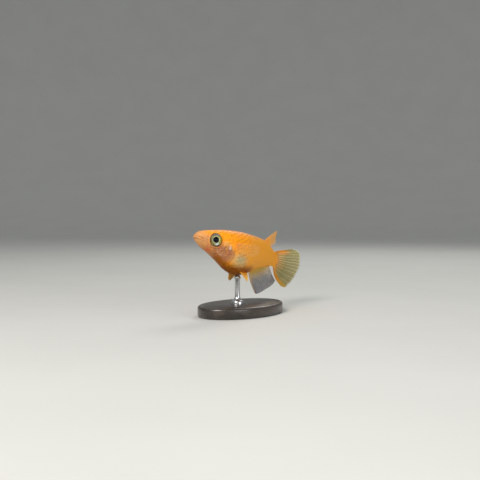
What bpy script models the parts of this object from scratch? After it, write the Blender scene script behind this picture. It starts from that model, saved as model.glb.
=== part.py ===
"""Orange medaka, an adult female, as a life-size model on a display stand. Metres, +Z up.

The origin is the centre of the underside of the stand's base. The head points towards -X and the
fish's left side towards -Y. Along the fish a place is a share of the body's length, 0 at the snout
and 1 at the end of the tail stalk; heights and half widths are in body lengths too. The straight
fish is bent sideways along its midline, then pitched nose up and lifted on the stand.
"""

import math

import bmesh
import bpy
from mathutils import Vector

# Driving dimensions
BODY_LENGTH = 0.031
GAP = 0.0003
FISH_HEIGHT = 0.0145
PITCH = math.radians(8.5)
CENTRE_SHARE = 0.45

# Outline of the body: height of the back and of the belly over the midline, by share
BACK = ((0.0, 0.056), (0.01, 0.080), (0.04, 0.099), (0.12, 0.114), (0.20, 0.126), (0.30, 0.135),
        (0.42, 0.139), (0.55, 0.136), (0.66, 0.130), (0.76, 0.119), (0.86, 0.093), (0.93, 0.068),
        (1.0, 0.053))
BELLY = ((0.0, 0.047), (0.01, 0.028), (0.04, -0.006), (0.12, -0.052), (0.20, -0.100), (0.30, -0.158),
         (0.38, -0.180), (0.44, -0.177), (0.52, -0.160), (0.60, -0.134), (0.72, -0.100),
         (0.84, -0.077), (0.92, -0.067), (1.0, -0.068))
# Half width, the height at which the body is widest, and how boxy it is above and below that
WIDTH = ((0.0, 0.024), (0.01, 0.041), (0.04, 0.056), (0.12, 0.072), (0.20, 0.082), (0.30, 0.094),
         (0.42, 0.097), (0.54, 0.079), (0.66, 0.054), (0.78, 0.037), (0.90, 0.022), (1.0, 0.012))
WIDEST = ((0.0, 0.052), (0.06, 0.047), (0.12, 0.042), (0.20, 0.023), (0.30, -0.009), (0.42, -0.033),
          (0.54, -0.019), (0.66, 0.0), (1.0, 0.0))
UPPER_FORM = ((0.0, 2.6), (0.12, 3.0), (0.30, 2.4), (0.60, 2.0), (1.0, 2.2))
LOWER_FORM = ((0.0, 2.0), (0.20, 2.0), (0.42, 2.1), (0.60, 1.9), (1.0, 2.2))
# Heading of the midline in degrees: the body is bent to its right, the tail fin flicks back
HEADING = ((0.0, -20.5), (0.22, -12.5), (0.36, -5.0), (0.50, 2.5), (0.68, 4.0), (0.84, 9.0),
           (0.97, 17.0), (1.03, 6.0), (1.10, -18.0), (1.30, -33.0))
MIDLINE_STEP = 0.005

# Where the body is divided
COVER_EDGE = ((0.0, 0.225), (0.30, 0.255), (0.55, 0.280), (0.75, 0.262), (1.0, 0.190))
STALK_SHARE = 0.64
BODY_SIDES = 40
HEAD_RINGS = 22
TRUNK_RINGS = 14
STALK_RINGS = 12
COVER_FLARE = 0.045

# Eyes
EYE_SHARE = 0.130
EYE_SIDE = 0.0545
EYE_UP = 0.044
EYE_RADIUS = 0.00148
EYE_DEPTH = 0.00105
EYE_TURN = math.radians(19.0)

# Mouth and nostrils
MOUTH_LENGTH = 0.042
MOUTH_HEIGHT = 0.057
MOUTH_DROP = 0.020
MOUTH_FRONT = 0.3
MOUTH_FAN = math.radians(78.0)
MOUTH_SLIT = 0.00030
MOUTH_DEPTH = 0.00040
MOUTH_STEPS = 20
SNOUT_CAP = 0.005
LIP_TUBE = 0.00020
LIP_RISE = 0.0105
LIP_SINK = 0.45
LIP_REACH = 0.92
LIP_STEPS = 14
NOSTRILS = ((0.050, 38.0, 0.00017), (0.076, 36.0, 0.00020))

# Fins
RAY_THICK = 0.00085
WEB_SHARE = 0.60
TIP_SHARE = 0.42
FIN_ROWS = 8

# Display stand
BASE_HALF_LENGTH = 0.0125
BASE_HALF_WIDTH = 0.0080
BASE_HEIGHT = 0.0025
BASE_BEVEL = 0.0005
ROD_RADIUS = 0.0006
ROD_SHARE = 0.430
ROD_COLLAR_RADIUS = 0.0015
ROD_COLLAR_HEIGHT = 0.0010


def curve(points):
    """A smooth curve through the points that keeps each rise and fall between them."""
    count = len(points)
    steps = [points[i + 1][0] - points[i][0] for i in range(count - 1)]
    slopes = [(points[i + 1][1] - points[i][1]) / steps[i] for i in range(count - 1)]
    tangents = [slopes[0]]
    for i in range(1, count - 1):
        before = slopes[i - 1]
        after = slopes[i]
        if before * after <= 0.0:
            tangents.append(0.0)
            continue
        near = 2.0 * steps[i] + steps[i - 1]
        far = steps[i] + 2.0 * steps[i - 1]
        tangents.append((near + far) / (near / before + far / after))
    tangents.append(slopes[-1])

    def value(x):
        i = 0
        while i < count - 2 and x > points[i + 1][0]:
            i += 1
        t = (x - points[i][0]) / steps[i]
        start = (2 * t**3 - 3 * t**2 + 1) * points[i][1]
        start += (t**3 - 2 * t**2 + t) * steps[i] * tangents[i]
        end = (-2 * t**3 + 3 * t**2) * points[i + 1][1]
        end += (t**3 - t**2) * steps[i] * tangents[i + 1]
        return start + end

    return value


back_height = curve(BACK)
belly_height = curve(BELLY)
half_width = curve(WIDTH)
widest_height = curve(WIDEST)
upper_form = curve(UPPER_FORM)
lower_form = curve(LOWER_FORM)
midline_heading = curve(HEADING)
cover_edge = curve(COVER_EDGE)


def trace_midline():
    """Places and headings of the midline at equal steps, in body lengths."""
    x = 0.0
    y = 0.0
    places = []
    count = round(HEADING[-1][0] / MIDLINE_STEP)
    for i in range(count + 1):
        heading = math.radians(midline_heading(i * MIDLINE_STEP))
        places.append((x, y, heading))
        half = math.radians(midline_heading((i + 0.5) * MIDLINE_STEP))
        x += math.cos(half) * MIDLINE_STEP
        y += math.sin(half) * MIDLINE_STEP
    return places


MIDLINE = trace_midline()


def midline_at(share):
    """Place and heading of the midline at a share of the length, straight on past its ends."""
    step = min(max(share / MIDLINE_STEP, 0.0), len(MIDLINE) - 1.001)
    i = int(step)
    t = step - i
    x, y, heading = (a * (1.0 - t) + b * t for a, b in zip(MIDLINE[i], MIDLINE[i + 1]))
    past = share - step * MIDLINE_STEP
    return x + past * math.cos(heading), y + past * math.sin(heading), heading


CENTRE_X, CENTRE_Y, CENTRE_HEADING = midline_at(CENTRE_SHARE)


def place(share, side, up):
    """A place on the straight fish, in body lengths, as a point of the part in metres."""
    x, y, heading = midline_at(share)
    x += -math.sin(heading) * side - CENTRE_X
    y += math.cos(heading) * side - CENTRE_Y
    along = x * math.cos(PITCH) + up * math.sin(PITCH)
    high = -x * math.sin(PITCH) + up * math.cos(PITCH)
    return Vector((along, y, high)) * BODY_LENGTH + Vector((0.0, 0.0, FISH_HEIGHT))


def section(share, angle, grow=0.0):
    """Side and height of the body's surface; angle 0 is the back, pi the belly, minus is left."""
    middle = widest_height(share)
    turn = abs(angle)
    if turn <= math.pi / 2:
        form = upper_form(share)
        reach = back_height(share) - middle
    else:
        form = lower_form(share)
        reach = middle - belly_height(share)
    side = (half_width(share) + grow) * math.sin(turn) ** (2.0 / form) if turn < math.pi else 0.0
    rise = (reach + grow) * abs(math.cos(turn)) ** (2.0 / form)
    return math.copysign(side, angle), middle + math.copysign(rise, math.cos(turn))


def flare(share, angle):
    """How far the gill cover stands out from the body towards its rear edge."""
    edge = cover_edge(abs(angle) / math.pi)
    ahead = min(max(1.0 - (edge - share) / 0.10, 0.0), 1.0)
    return COVER_FLARE * ahead * ahead * math.sin(angle) ** 2


def body_point(share, angle, grow=0.0):
    side, up = section(share, angle, grow)
    return place(share, side, up)


def head_point(share, angle, grow=0.0):
    side, up = section(share, angle, grow)
    return place(share, side * (1.0 + flare(share, angle)), up)


def material(name, colour, roughness, alpha=1.0):
    made = bpy.data.materials.new(name)
    made.use_nodes = True
    shader = made.node_tree.nodes["Principled BSDF"]
    shader.inputs["Base Color"].default_value = (*colour, 1.0)
    shader.inputs["Roughness"].default_value = roughness
    shader.inputs["Metallic"].default_value = 0.0
    shader.inputs["Alpha"].default_value = alpha
    made.diffuse_color = (*colour, alpha)
    return made


def new_object(name, mesh_builder, paint, group):
    """Turns a bmesh into an object of the collection, shaded smooth."""
    mesh_builder.normal_update()
    bmesh.ops.recalc_face_normals(mesh_builder, faces=mesh_builder.faces)
    mesh = bpy.data.meshes.new(name)
    mesh_builder.to_mesh(mesh)
    mesh_builder.free()
    mesh.shade_smooth()
    made = bpy.data.objects.new(name, mesh)
    if paint:
        mesh.materials.append(paint)
    group.objects.link(made)
    return made


def loft(rings, start_cap, end_cap):
    """A closed body through rings of points, with a fan of faces to a point at each end."""
    builder = bmesh.new()
    rows = [[builder.verts.new(point) for point in ring] for ring in rings]
    count = len(rows[0])
    for row, following in zip(rows, rows[1:]):
        for i in range(count):
            j = (i + 1) % count
            builder.faces.new((row[i], row[j], following[j], following[i]))
    for row, cap in ((rows[0], start_cap), (rows[-1], end_cap)):
        tip = builder.verts.new(cap)
        for i in range(count):
            builder.faces.new((row[i], row[(i + 1) % count], tip))
    bmesh.ops.triangulate(builder, faces=builder.faces)
    return builder


def angles():
    """Angles round a body section, from the back over the right side to the belly and up the left."""
    return [math.pi - 2.0 * math.pi * i / BODY_SIDES for i in range(BODY_SIDES)]


def tube(points, radius, sides, closed, group, name):
    """A round tube along points, as a closed mesh object."""
    line = bpy.data.curves.new(name, "CURVE")
    line.dimensions = "3D"
    line.bevel_depth = radius
    line.bevel_resolution = sides
    line.use_fill_caps = True
    spline = line.splines.new("POLY")
    spline.points.add(len(points) - 1)
    for spot, point in zip(spline.points, points):
        spot.co = (*point, 1.0)
    spline.use_cyclic_u = closed
    shape = bpy.data.objects.new(name, line)
    bpy.context.scene.collection.objects.link(shape)
    bpy.context.view_layer.update()
    mesh = bpy.data.meshes.new_from_object(shape.evaluated_get(bpy.context.evaluated_depsgraph_get()))
    builder = bmesh.new()
    builder.from_mesh(mesh)
    bmesh.ops.remove_doubles(builder, verts=builder.verts, dist=0.000001)
    bpy.data.objects.remove(shape)
    return new_object(name, builder, None, group)


def ellipsoid(name, centre, axes, radii, group, segments=28, rings=18, paint=None):
    """A closed ellipsoid; axes are three unit vectors and radii its half axes along them."""
    builder = bmesh.new()
    bmesh.ops.create_uvsphere(builder, u_segments=segments, v_segments=rings, radius=1.0)
    for vert in builder.verts:
        spot = vert.co.copy()
        vert.co = centre + sum((axis * spot[i] * radii[i] for i, axis in enumerate(axes)), Vector())
    return new_object(name, builder, paint, group)


def join_and_cut(target, additions, cutters):
    """Applies one union and one difference to the object, and keeps its largest closed surface."""
    for operation, tools in (("UNION", additions), ("DIFFERENCE", cutters)):
        if not tools.objects:
            continue
        change = target.modifiers.new(operation.title(), "BOOLEAN")
        change.operation = operation
        change.operand_type = "COLLECTION"
        change.collection = tools
        change.solver = "EXACT"
    bpy.context.view_layer.update()
    mesh = bpy.data.meshes.new_from_object(target.evaluated_get(bpy.context.evaluated_depsgraph_get()))
    target.modifiers.clear()
    target.data = mesh
    keep_largest(mesh)
    for tools in (additions, cutters):
        for tool in list(tools.objects):
            bpy.data.objects.remove(tool)


def keep_largest(mesh):
    builder = bmesh.new()
    builder.from_mesh(mesh)
    bmesh.ops.triangulate(builder, faces=builder.faces)
    left = set(builder.verts)
    pieces = []
    while left:
        start = left.pop()
        piece = {start}
        edge_of_piece = [start]
        while edge_of_piece:
            vert = edge_of_piece.pop()
            for edge in vert.link_edges:
                other = edge.other_vert(vert)
                if other in left:
                    left.remove(other)
                    piece.add(other)
                    edge_of_piece.append(other)
        pieces.append(piece)
    pieces.sort(key=len)
    for piece in pieces[:-1]:
        bmesh.ops.delete(builder, geom=list(piece), context="VERTS")
    builder.to_mesh(mesh)
    builder.free()


def helper_collection(name):
    made = bpy.data.collections.new(name)
    bpy.context.scene.collection.children.link(made)
    return made


def eye_frame(side):
    """Centre of an eye and its three axes: forward along the head, outward, and up."""
    centre = place(EYE_SHARE, side * EYE_SIDE, EYE_UP)
    ahead = (place(EYE_SHARE - 0.01, side * EYE_SIDE, EYE_UP) - centre).normalized()
    up = (place(EYE_SHARE, side * EYE_SIDE, EYE_UP + 0.01) - centre).normalized()
    outward = ahead.cross(up).normalized()
    if (outward.y > 0) != (side > 0):
        outward.negate()
    forward = (ahead * math.cos(EYE_TURN) - outward * math.sin(EYE_TURN)).normalized()
    outward = (outward * math.cos(EYE_TURN) + ahead * math.sin(EYE_TURN)).normalized()
    return centre, (forward, outward, up)


def surface_side(share, height):
    """Distance from the middle plane to the body's surface at a height."""
    middle = widest_height(share)
    above = height > middle
    form = upper_form(share) if above else lower_form(share)
    reach = back_height(share) - middle if above else middle - belly_height(share)
    level = min(abs(height - middle) / reach, 1.0)
    return half_width(share) * (1.0 - level**form) ** (1.0 / form)


def front_share(height):
    """The share at which the snout's profile reaches a height, or 0 on its blunt front."""
    low = 0.0
    high = MOUTH_LENGTH
    for _ in range(24):
        middle = (low + high) / 2.0
        if belly_height(middle) <= height <= back_height(middle):
            high = middle
        else:
            low = middle
    return high


def mouth_line(turn, rise, grow):
    """A point along the mouth; turn runs from -1 at the left corner over the snout to 1."""
    start = front_share(MOUTH_HEIGHT + rise)
    share = start + MOUTH_LENGTH * turn * turn
    height = MOUTH_HEIGHT + rise - MOUTH_DROP * turn * turn
    ease = min(abs(turn) / MOUTH_FRONT, 1.0) * math.pi / 2.0
    side = surface_side(share, height) * math.sin(ease)
    share -= SNOUT_CAP * math.cos(ease)
    heading = turn * MOUTH_FAN
    side = math.copysign(side, turn) + math.sin(heading) * grow
    return place(share - math.cos(heading) * grow, side, height)


def mouth_cutter(group):
    """A thin bent plate that cuts the slit of the mouth into the snout."""
    builder = bmesh.new()
    rows = []
    for depth in (-MOUTH_DEPTH, MOUTH_DEPTH * 2.0):
        turns = [2.0 * i / MOUTH_STEPS - 1.0 for i in range(MOUTH_STEPS + 1)]
        rows.append([builder.verts.new(mouth_line(turn, 0.0, depth / BODY_LENGTH)) for turn in turns])
    for i in range(MOUTH_STEPS):
        builder.faces.new((rows[0][i], rows[0][i + 1], rows[1][i + 1], rows[1][i]))
    bmesh.ops.triangulate(builder, faces=builder.faces)
    plate = new_object("mouth_slit", builder, None, group)
    wall = plate.modifiers.new("Slit", "SOLIDIFY")
    wall.thickness = MOUTH_SLIT
    wall.offset = 0.0


def lips(group):
    """The upper and the lower lip: two soft rims along the line of the mouth."""
    for name, rise in (("upper_lip", LIP_RISE), ("lower_lip", -LIP_RISE)):
        turns = [(2.0 * i / LIP_STEPS - 1.0) * LIP_REACH for i in range(LIP_STEPS + 1)]
        points = [mouth_line(turn, rise, -LIP_SINK * LIP_TUBE / BODY_LENGTH) for turn in turns]
        tube(points, LIP_TUBE, 2, False, group, name)


def make_head(paint, group):
    rings = []
    for i in range(HEAD_RINGS):
        t = i / (HEAD_RINGS - 1)
        ring = []
        for angle in angles():
            share = cover_edge(abs(angle) / math.pi) * t**1.5
            ring.append(head_point(share, angle))
        rings.append(ring)
    middle = sum((value for where, value in COVER_EDGE), 0.0) / len(COVER_EDGE)
    head = new_object("head", loft(rings, place(-SNOUT_CAP, 0.0, 0.052), place(middle, 0.0, 0.0)), paint, group)
    additions = helper_collection("head_additions")
    cutters = helper_collection("head_cutters")
    lips(additions)
    mouth_cutter(cutters)
    for side in (-1, 1):
        centre, axes = eye_frame(side)
        radii = (EYE_RADIUS + GAP, EYE_DEPTH + GAP, EYE_RADIUS + GAP)
        ellipsoid("socket", centre, axes, radii, cutters)
        for share, angle, radius in NOSTRILS:
            spot = body_point(share, side * math.radians(angle))
            ball = (Vector((1, 0, 0)), Vector((0, 1, 0)), Vector((0, 0, 1)))
            ellipsoid("nostril", spot, ball, (radius, radius, radius * 1.6), cutters, 10, 8)
    for tool in list(additions.objects) + list(cutters.objects):
        tool.hide_render = True
        tool.display_type = "WIRE"
    join_and_cut(head, additions, cutters)


def make_trunk(paint, group):
    rings = []
    start_gap = 1.15 * GAP / BODY_LENGTH
    for i in range(TRUNK_RINGS):
        t = i / (TRUNK_RINGS - 1)
        ring = []
        for angle in angles():
            start = cover_edge(abs(angle) / math.pi) + start_gap
            ring.append(body_point(start * (1.0 - t) + STALK_SHARE * t, angle))
        rings.append(ring)
    middle = sum((value for where, value in COVER_EDGE), 0.0) / len(COVER_EDGE)
    start_cap = place(middle + start_gap, 0.0, 0.0)
    new_object("trunk", loft(rings, start_cap, place(STALK_SHARE, 0.0, 0.0)), paint, group)


def make_tail_stalk(paint, group):
    start = STALK_SHARE + GAP / BODY_LENGTH
    rings = []
    for i in range(STALK_RINGS):
        share = start + (1.0 - start) * i / (STALK_RINGS - 1)
        rings.append([body_point(share, angle) for angle in angles()])
    new_object("tail_stalk", loft(rings, place(start, 0.0, 0.0), place(1.0, 0.0, -0.008)), paint, group)


def make_eye(name, side, paint, group):
    centre, axes = eye_frame(side)
    ellipsoid(name, centre, axes, (EYE_RADIUS, EYE_DEPTH, EYE_RADIUS), group, 30, 20, paint)


def make_fin(name, rays, surface, paint, group, rows=FIN_ROWS):
    """A fin of rays raised on a thin web; surface(across, out) gives its middle layer's points."""
    columns = 2 * rays + 1
    builder = bmesh.new()
    weights = []
    grid = []
    for row in range(rows + 1):
        line = []
        for column in range(columns):
            on_ray = column % 2 == 1
            out = row / rows
            reach = out if on_ray else out * 0.975
            line.append(builder.verts.new(surface(column / (columns - 1), reach)))
            thick = 1.0 if on_ray else WEB_SHARE
            weights.append(thick * (1.0 - out**1.5 * (1.0 - TIP_SHARE)))
        grid.append(line)
    for row in range(rows):
        for column in range(columns - 1):
            corners = (grid[row][column], grid[row][column + 1])
            builder.faces.new((*corners, grid[row + 1][column + 1], grid[row + 1][column]))
    bmesh.ops.triangulate(builder, faces=builder.faces)
    builder.verts.index_update()
    fin = new_object(name, builder, paint, group)
    thickness = fin.vertex_groups.new(name="Thickness")
    for index, weight in enumerate(weights):
        thickness.add([index], weight, "REPLACE")
    wall = fin.modifiers.new("Rays and web", "SOLIDIFY")
    wall.thickness = RAY_THICK
    wall.offset = 0.0
    wall.vertex_group = "Thickness"
    return fin


def between(start, end, t):
    return tuple(a * (1.0 - t) + b * t for a, b in zip(start, end))


def upright_fin(base, margin_share, margin_up, bow, bulge=0.0, rise=0.0):
    """The surface of a fin in the fish's middle plane, with a sideways bow and a rounded front."""

    def surface(across, out):
        start = base(across)
        end = (margin_share(across), margin_up(across))
        share, up = between(start, end, out)
        at_front = math.sin(out * math.pi) * (1.0 - across) ** 2
        share -= bulge * at_front
        up += rise * at_front
        return place(share, bow * math.sin(across * math.pi) * out * out, up)

    return surface


def dorsal_fin(paint, group):
    share = curve(((0.0, 1.035), (0.3, 1.026), (0.65, 1.016), (1.0, 1.012)))
    height = curve(((0.0, 0.226), (0.12, 0.222), (0.5, 0.172), (1.0, 0.122)))
    front = 0.765
    rear = 0.885

    def base(across):
        where = front + (rear - front) * across
        return where, back_height(where) + 1.2 * GAP / BODY_LENGTH

    make_fin("dorsal_fin", 6, upright_fin(base, share, height, 0.006, 0.0, 0.013), paint, group)


def anal_fin(paint, group):
    share = curve(((0.0, 0.690), (0.06, 0.706), (0.4, 0.860), (0.8, 1.022), (1.0, 1.056)))
    height = curve(((0.0, -0.296), (0.06, -0.302), (0.4, -0.252), (0.8, -0.200), (1.0, -0.176)))
    front = 0.572
    rear = 0.885

    def base(across):
        where = front + (rear - front) * across
        return where, belly_height(where) - 1.2 * GAP / BODY_LENGTH

    make_fin("anal_fin", 18, upright_fin(base, share, height, -0.010, 0.018), paint, group)


def tail_fin(paint, group):
    share = curve(((0.0, 1.122), (0.06, 1.157), (0.15, 1.206), (0.3, 1.260), (0.55, 1.290), (0.8, 1.286),
                   (0.92, 1.257), (1.0, 1.208)))
    height = curve(((0.0, -0.214), (0.06, -0.222), (0.15, -0.186), (0.3, -0.106), (0.55, -0.018),
                    (0.8, 0.060), (0.92, 0.088), (1.0, 0.099)))
    start = 1.0 + GAP / BODY_LENGTH

    def base(across):
        low = belly_height(1.0) + 0.003
        high = back_height(1.0) - 0.003
        return start, low + (high - low) * across

    make_fin("tail_fin", 12, upright_fin(base, share, height, 0.004, 0.020), paint, group, 10)


def pectoral_fin(name, side, paint, group):
    """A rounded fin high on the flank, just behind the gill cover, held back and a little out."""
    root_share = 0.296
    high_angle = math.radians(74.0)
    low_angle = math.radians(94.0)
    share = curve(((0.0, 0.455), (0.25, 0.485), (0.55, 0.470), (1.0, 0.400)))
    height = curve(((0.0, 0.052), (0.3, 0.020), (0.6, -0.022), (1.0, -0.052)))
    out_side = curve(((0.0, 0.128), (0.5, 0.146), (1.0, 0.138)))

    def surface(across, out):
        angle = high_angle + (low_angle - high_angle) * across
        root_side, root_up = section(root_share, angle, 2.4 * GAP / BODY_LENGTH)
        start = (root_share, root_side, root_up)
        spot = between(start, (share(across), out_side(across), height(across)), out)
        lift = 0.010 * math.sin(out * math.pi)
        return place(spot[0], side * (spot[1] + lift), spot[2])

    make_fin(name, 9, surface, paint, group, 7)


def pelvic_fin(name, side, paint, group):
    """A small fin under the belly, spread down and out."""
    front = (0.388, 0.052)
    rear = (0.500, 0.035)
    share = curve(((0.0, 0.430), (0.5, 0.448), (1.0, 0.466)))
    height = curve(((0.0, -0.214), (0.5, -0.223), (1.0, -0.206)))
    out_side = curve(((0.0, 0.084), (0.5, 0.079), (1.0, 0.073)))

    def surface(across, out):
        where, aside = between(front, rear, across)
        root_up = belly_up(where, aside) - 1.8 * GAP / BODY_LENGTH
        spot = between((where, aside, root_up), (share(across), out_side(across), height(across)), out)
        return place(spot[0], side * spot[1], spot[2])

    make_fin(name, 6, surface, paint, group, 6)


def belly_up(share, side):
    """Height of the belly's surface at a distance from the middle plane."""
    middle = widest_height(share)
    form = lower_form(share)
    level = (1.0 - (side / half_width(share)) ** form) ** (1.0 / form)
    return middle - (middle - belly_height(share)) * level


def stand_base(paint, group):
    builder = bmesh.new()
    bmesh.ops.create_cone(builder, cap_ends=True, segments=64, radius1=1.0, radius2=1.0, depth=BASE_HEIGHT)
    for vert in builder.verts:
        vert.co.x *= BASE_HALF_LENGTH
        vert.co.y *= BASE_HALF_WIDTH
        vert.co.z += BASE_HEIGHT / 2.0
    base = new_object("stand_base", builder, paint, group)
    edge = base.modifiers.new("Rounded edge", "BEVEL")
    edge.width = BASE_BEVEL
    edge.segments = 2
    edge.limit_method = "ANGLE"


def stand_rod(paint, group):
    """A turned rod with a low collar on the base, up to just under the belly."""
    foot = place(ROD_SHARE, 0.0, belly_height(ROD_SHARE))
    floor = BASE_HEIGHT + GAP
    top = foot.z - 1.3 * GAP
    profile = ((0.0, top), (ROD_RADIUS * 0.7, top), (ROD_RADIUS, top - 0.0003),
               (ROD_RADIUS, floor + ROD_COLLAR_HEIGHT), (ROD_COLLAR_RADIUS, floor + 0.0004),
               (ROD_COLLAR_RADIUS, floor), (0.0, floor))
    mesh = bpy.data.meshes.new("stand_rod")
    edges = [(i, i + 1) for i in range(len(profile) - 1)]
    mesh.from_pydata([(x, 0.0, z) for x, z in profile], edges, [])
    mesh.materials.append(paint)
    rod = bpy.data.objects.new("stand_rod", mesh)
    rod.location = (foot.x, foot.y, 0.0)
    group.objects.link(rod)
    turn = rod.modifiers.new("Turned", "SCREW")
    turn.steps = 32
    turn.render_steps = 32
    turn.use_merge_vertices = True
    turn.merge_threshold = 0.00001


def main():
    for old in list(bpy.data.objects):
        bpy.data.objects.remove(old)
    group = bpy.data.collections.new("orange_medaka")
    bpy.context.scene.collection.children.link(group)
    skin = material("orange_skin", (0.90, 0.42, 0.08), 0.35)
    eye_paint = material("eye", (0.30, 0.32, 0.16), 0.08)
    fin_paint = material("orange_fin", (0.80, 0.50, 0.15), 0.30, 0.75)
    clear_fin = material("clear_fin", (0.75, 0.74, 0.55), 0.25, 0.60)
    base_paint = material("stand_base", (0.03, 0.03, 0.03), 0.35)
    rod_paint = material("stand_rod", (0.55, 0.55, 0.56), 0.25)
    make_head(skin, group)
    make_trunk(skin, group)
    make_tail_stalk(skin, group)
    dorsal_fin(fin_paint, group)
    anal_fin(clear_fin, group)
    tail_fin(clear_fin, group)
    for side_name, side in (("left", -1), ("right", 1)):
        make_eye(f"eye_{side_name}", side, eye_paint, group)
        pectoral_fin(f"pectoral_fin_{side_name}", side, clear_fin, group)
        pelvic_fin(f"pelvic_fin_{side_name}", side, fin_paint, group)
    stand_base(base_paint, group)
    stand_rod(rod_paint, group)


main()
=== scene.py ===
"""The looks of an orange medaka on a display stand, laid out as a Blender add-on.

Along the fish a place is a share of the body's length, 0 at the snout and 1 at the end of the tail
stalk. Its side and its height are in body lengths too, minus being the fish's left side. The
straight fish is bent along its midline, pitched nose up and lifted onto its stand.
"""

import math

import bpy
import numpy as np
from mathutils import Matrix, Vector


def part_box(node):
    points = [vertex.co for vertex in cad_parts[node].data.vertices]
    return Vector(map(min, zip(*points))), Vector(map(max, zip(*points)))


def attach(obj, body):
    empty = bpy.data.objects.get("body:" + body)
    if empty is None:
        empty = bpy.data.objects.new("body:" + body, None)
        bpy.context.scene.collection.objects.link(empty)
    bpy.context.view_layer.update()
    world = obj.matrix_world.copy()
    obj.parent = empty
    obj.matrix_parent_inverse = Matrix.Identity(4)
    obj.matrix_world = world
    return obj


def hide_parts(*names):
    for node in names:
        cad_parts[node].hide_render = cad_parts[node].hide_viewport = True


bl_info = {
    "name": "Orange medaka",
    "version": (1, 0, 0),
    "blender": (4, 5, 0),
    "location": "View3D > Sidebar > Medaka",
    "description": "Skin, scales, eyes, fins and stand of a life-size medaka",
    "category": "Object",
}

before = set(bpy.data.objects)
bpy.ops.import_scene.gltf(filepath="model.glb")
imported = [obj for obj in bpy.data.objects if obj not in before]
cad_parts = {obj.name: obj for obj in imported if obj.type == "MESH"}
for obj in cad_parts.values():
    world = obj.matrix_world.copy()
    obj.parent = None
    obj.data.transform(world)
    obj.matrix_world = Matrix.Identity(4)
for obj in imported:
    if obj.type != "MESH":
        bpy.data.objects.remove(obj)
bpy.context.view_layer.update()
ROOT = "root"

# Outline of the body by share: heights of the back and of the belly over the midline
BACK = ((0.0, 0.056), (0.01, 0.080), (0.04, 0.099), (0.12, 0.114), (0.20, 0.126), (0.30, 0.135),
        (0.42, 0.139), (0.55, 0.136), (0.66, 0.130), (0.76, 0.119), (0.86, 0.093), (0.93, 0.068),
        (1.0, 0.053), (1.04, 0.058))
BELLY = ((0.0, 0.047), (0.01, 0.028), (0.04, -0.006), (0.12, -0.052), (0.20, -0.100), (0.30, -0.158),
         (0.38, -0.180), (0.44, -0.177), (0.52, -0.160), (0.60, -0.134), (0.72, -0.100),
         (0.84, -0.077), (0.92, -0.067), (1.0, -0.068), (1.04, -0.088))
# Half the body's width, and the height at which it is widest
WIDTH = ((0.0, 0.024), (0.01, 0.041), (0.04, 0.056), (0.12, 0.072), (0.20, 0.082), (0.30, 0.094),
         (0.42, 0.097), (0.54, 0.079), (0.66, 0.054), (0.78, 0.037), (0.90, 0.022), (1.0, 0.012),
         (1.04, 0.002))
WIDEST = ((0.0, 0.052), (0.06, 0.047), (0.12, 0.042), (0.20, 0.023), (0.30, -0.009), (0.42, -0.033),
          (0.54, -0.019), (0.66, 0.0), (1.04, 0.0))
# Fullness of the section above and below that height; 2 is an ellipse, and more is boxier
UPPER_FORM = ((0.0, 2.6), (0.12, 3.0), (0.30, 2.4), (0.60, 2.0), (1.04, 2.2))
LOWER_FORM = ((0.0, 2.0), (0.20, 2.0), (0.42, 2.1), (0.60, 1.9), (1.04, 2.2))
# Heading of the midline in degrees on its way to the tail; minus goes towards the fish's left
HEADING = ((0.0, -20.5), (0.22, -12.5), (0.36, -5.0), (0.50, 2.5), (0.68, 4.0), (0.84, 9.0),
           (0.97, 17.0), (1.03, 6.0), (1.10, -18.0), (1.30, -33.0))
# Share of the gill cover's rear edge, from the back at 0 round to the belly at 1
COVER_EDGE = ((0.0, 0.225), (0.30, 0.255), (0.55, 0.280), (0.75, 0.262), (1.0, 0.190))
# Step along the midline, the share over the stand's middle, and the ends of the skin
MIDLINE_STEP = 0.0025
CENTRE_SHARE = 0.45
SNOUT_CAP = 0.005
SKIN_END = 1.038

# Features of the head: the eye's place, and how far out in the eyeball the iris lies
EYE_SHARE = 0.130
EYE_SIDE = 0.0545
EYE_UP = 0.044
IRIS_DEPTH = 0.78
# Socket of the eye: radius, width of its wall and depth
SOCKET = (0.051, 0.007, 0.0105)
# Rim and groove round the socket: radius, width and height
EYE_RINGS = ((0.0530, 0.0042, 0.0030), (0.0640, 0.0045, -0.0012))
# Arcs of raised pores over the eye: radius, and how many to half a turn; a pore's width and height
PORE_ARCS = ((0.0665, 9), (0.0755, 11))
PORE_SIZE = (0.0024, 0.0014)
MOUTH_LENGTH = 0.042
MOUTH_HEIGHT = 0.057
MOUTH_DROP = 0.020
# Slit of the mouth, upper lip and lower lip: height over the slit, width and how far out
LIPS = ((0.0, 0.0021, -0.0060), (0.0075, 0.0042, 0.0034), (-0.0078, 0.0044, 0.0038))
# Nostrils: share, degrees from the back, and radius; height of the rim and depth of the pit
NOSTRILS = ((0.050, 38.0, 0.0042), (0.076, 36.0, 0.0052))
NOSTRIL_RIM = 0.0016
NOSTRIL_PIT = 0.0060
# How far the gill cover's rear edge stands out, and the depth of the groove behind it
COVER_FLARE = 0.0046
COVER_GROOVE = 0.0030
# Arc below and behind the eye in the side view: share, height and radius
CHEEK_ARC = (0.128, 0.034, 0.088)
# Curved folds of the gill cover in the side view: share, height and radius
COVER_FOLDS = ((0.186, -0.026, 0.018), (0.188, -0.022, 0.033), (0.200, -0.010, 0.052))
SIDES = (("left", -1), ("right", 1))

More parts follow.
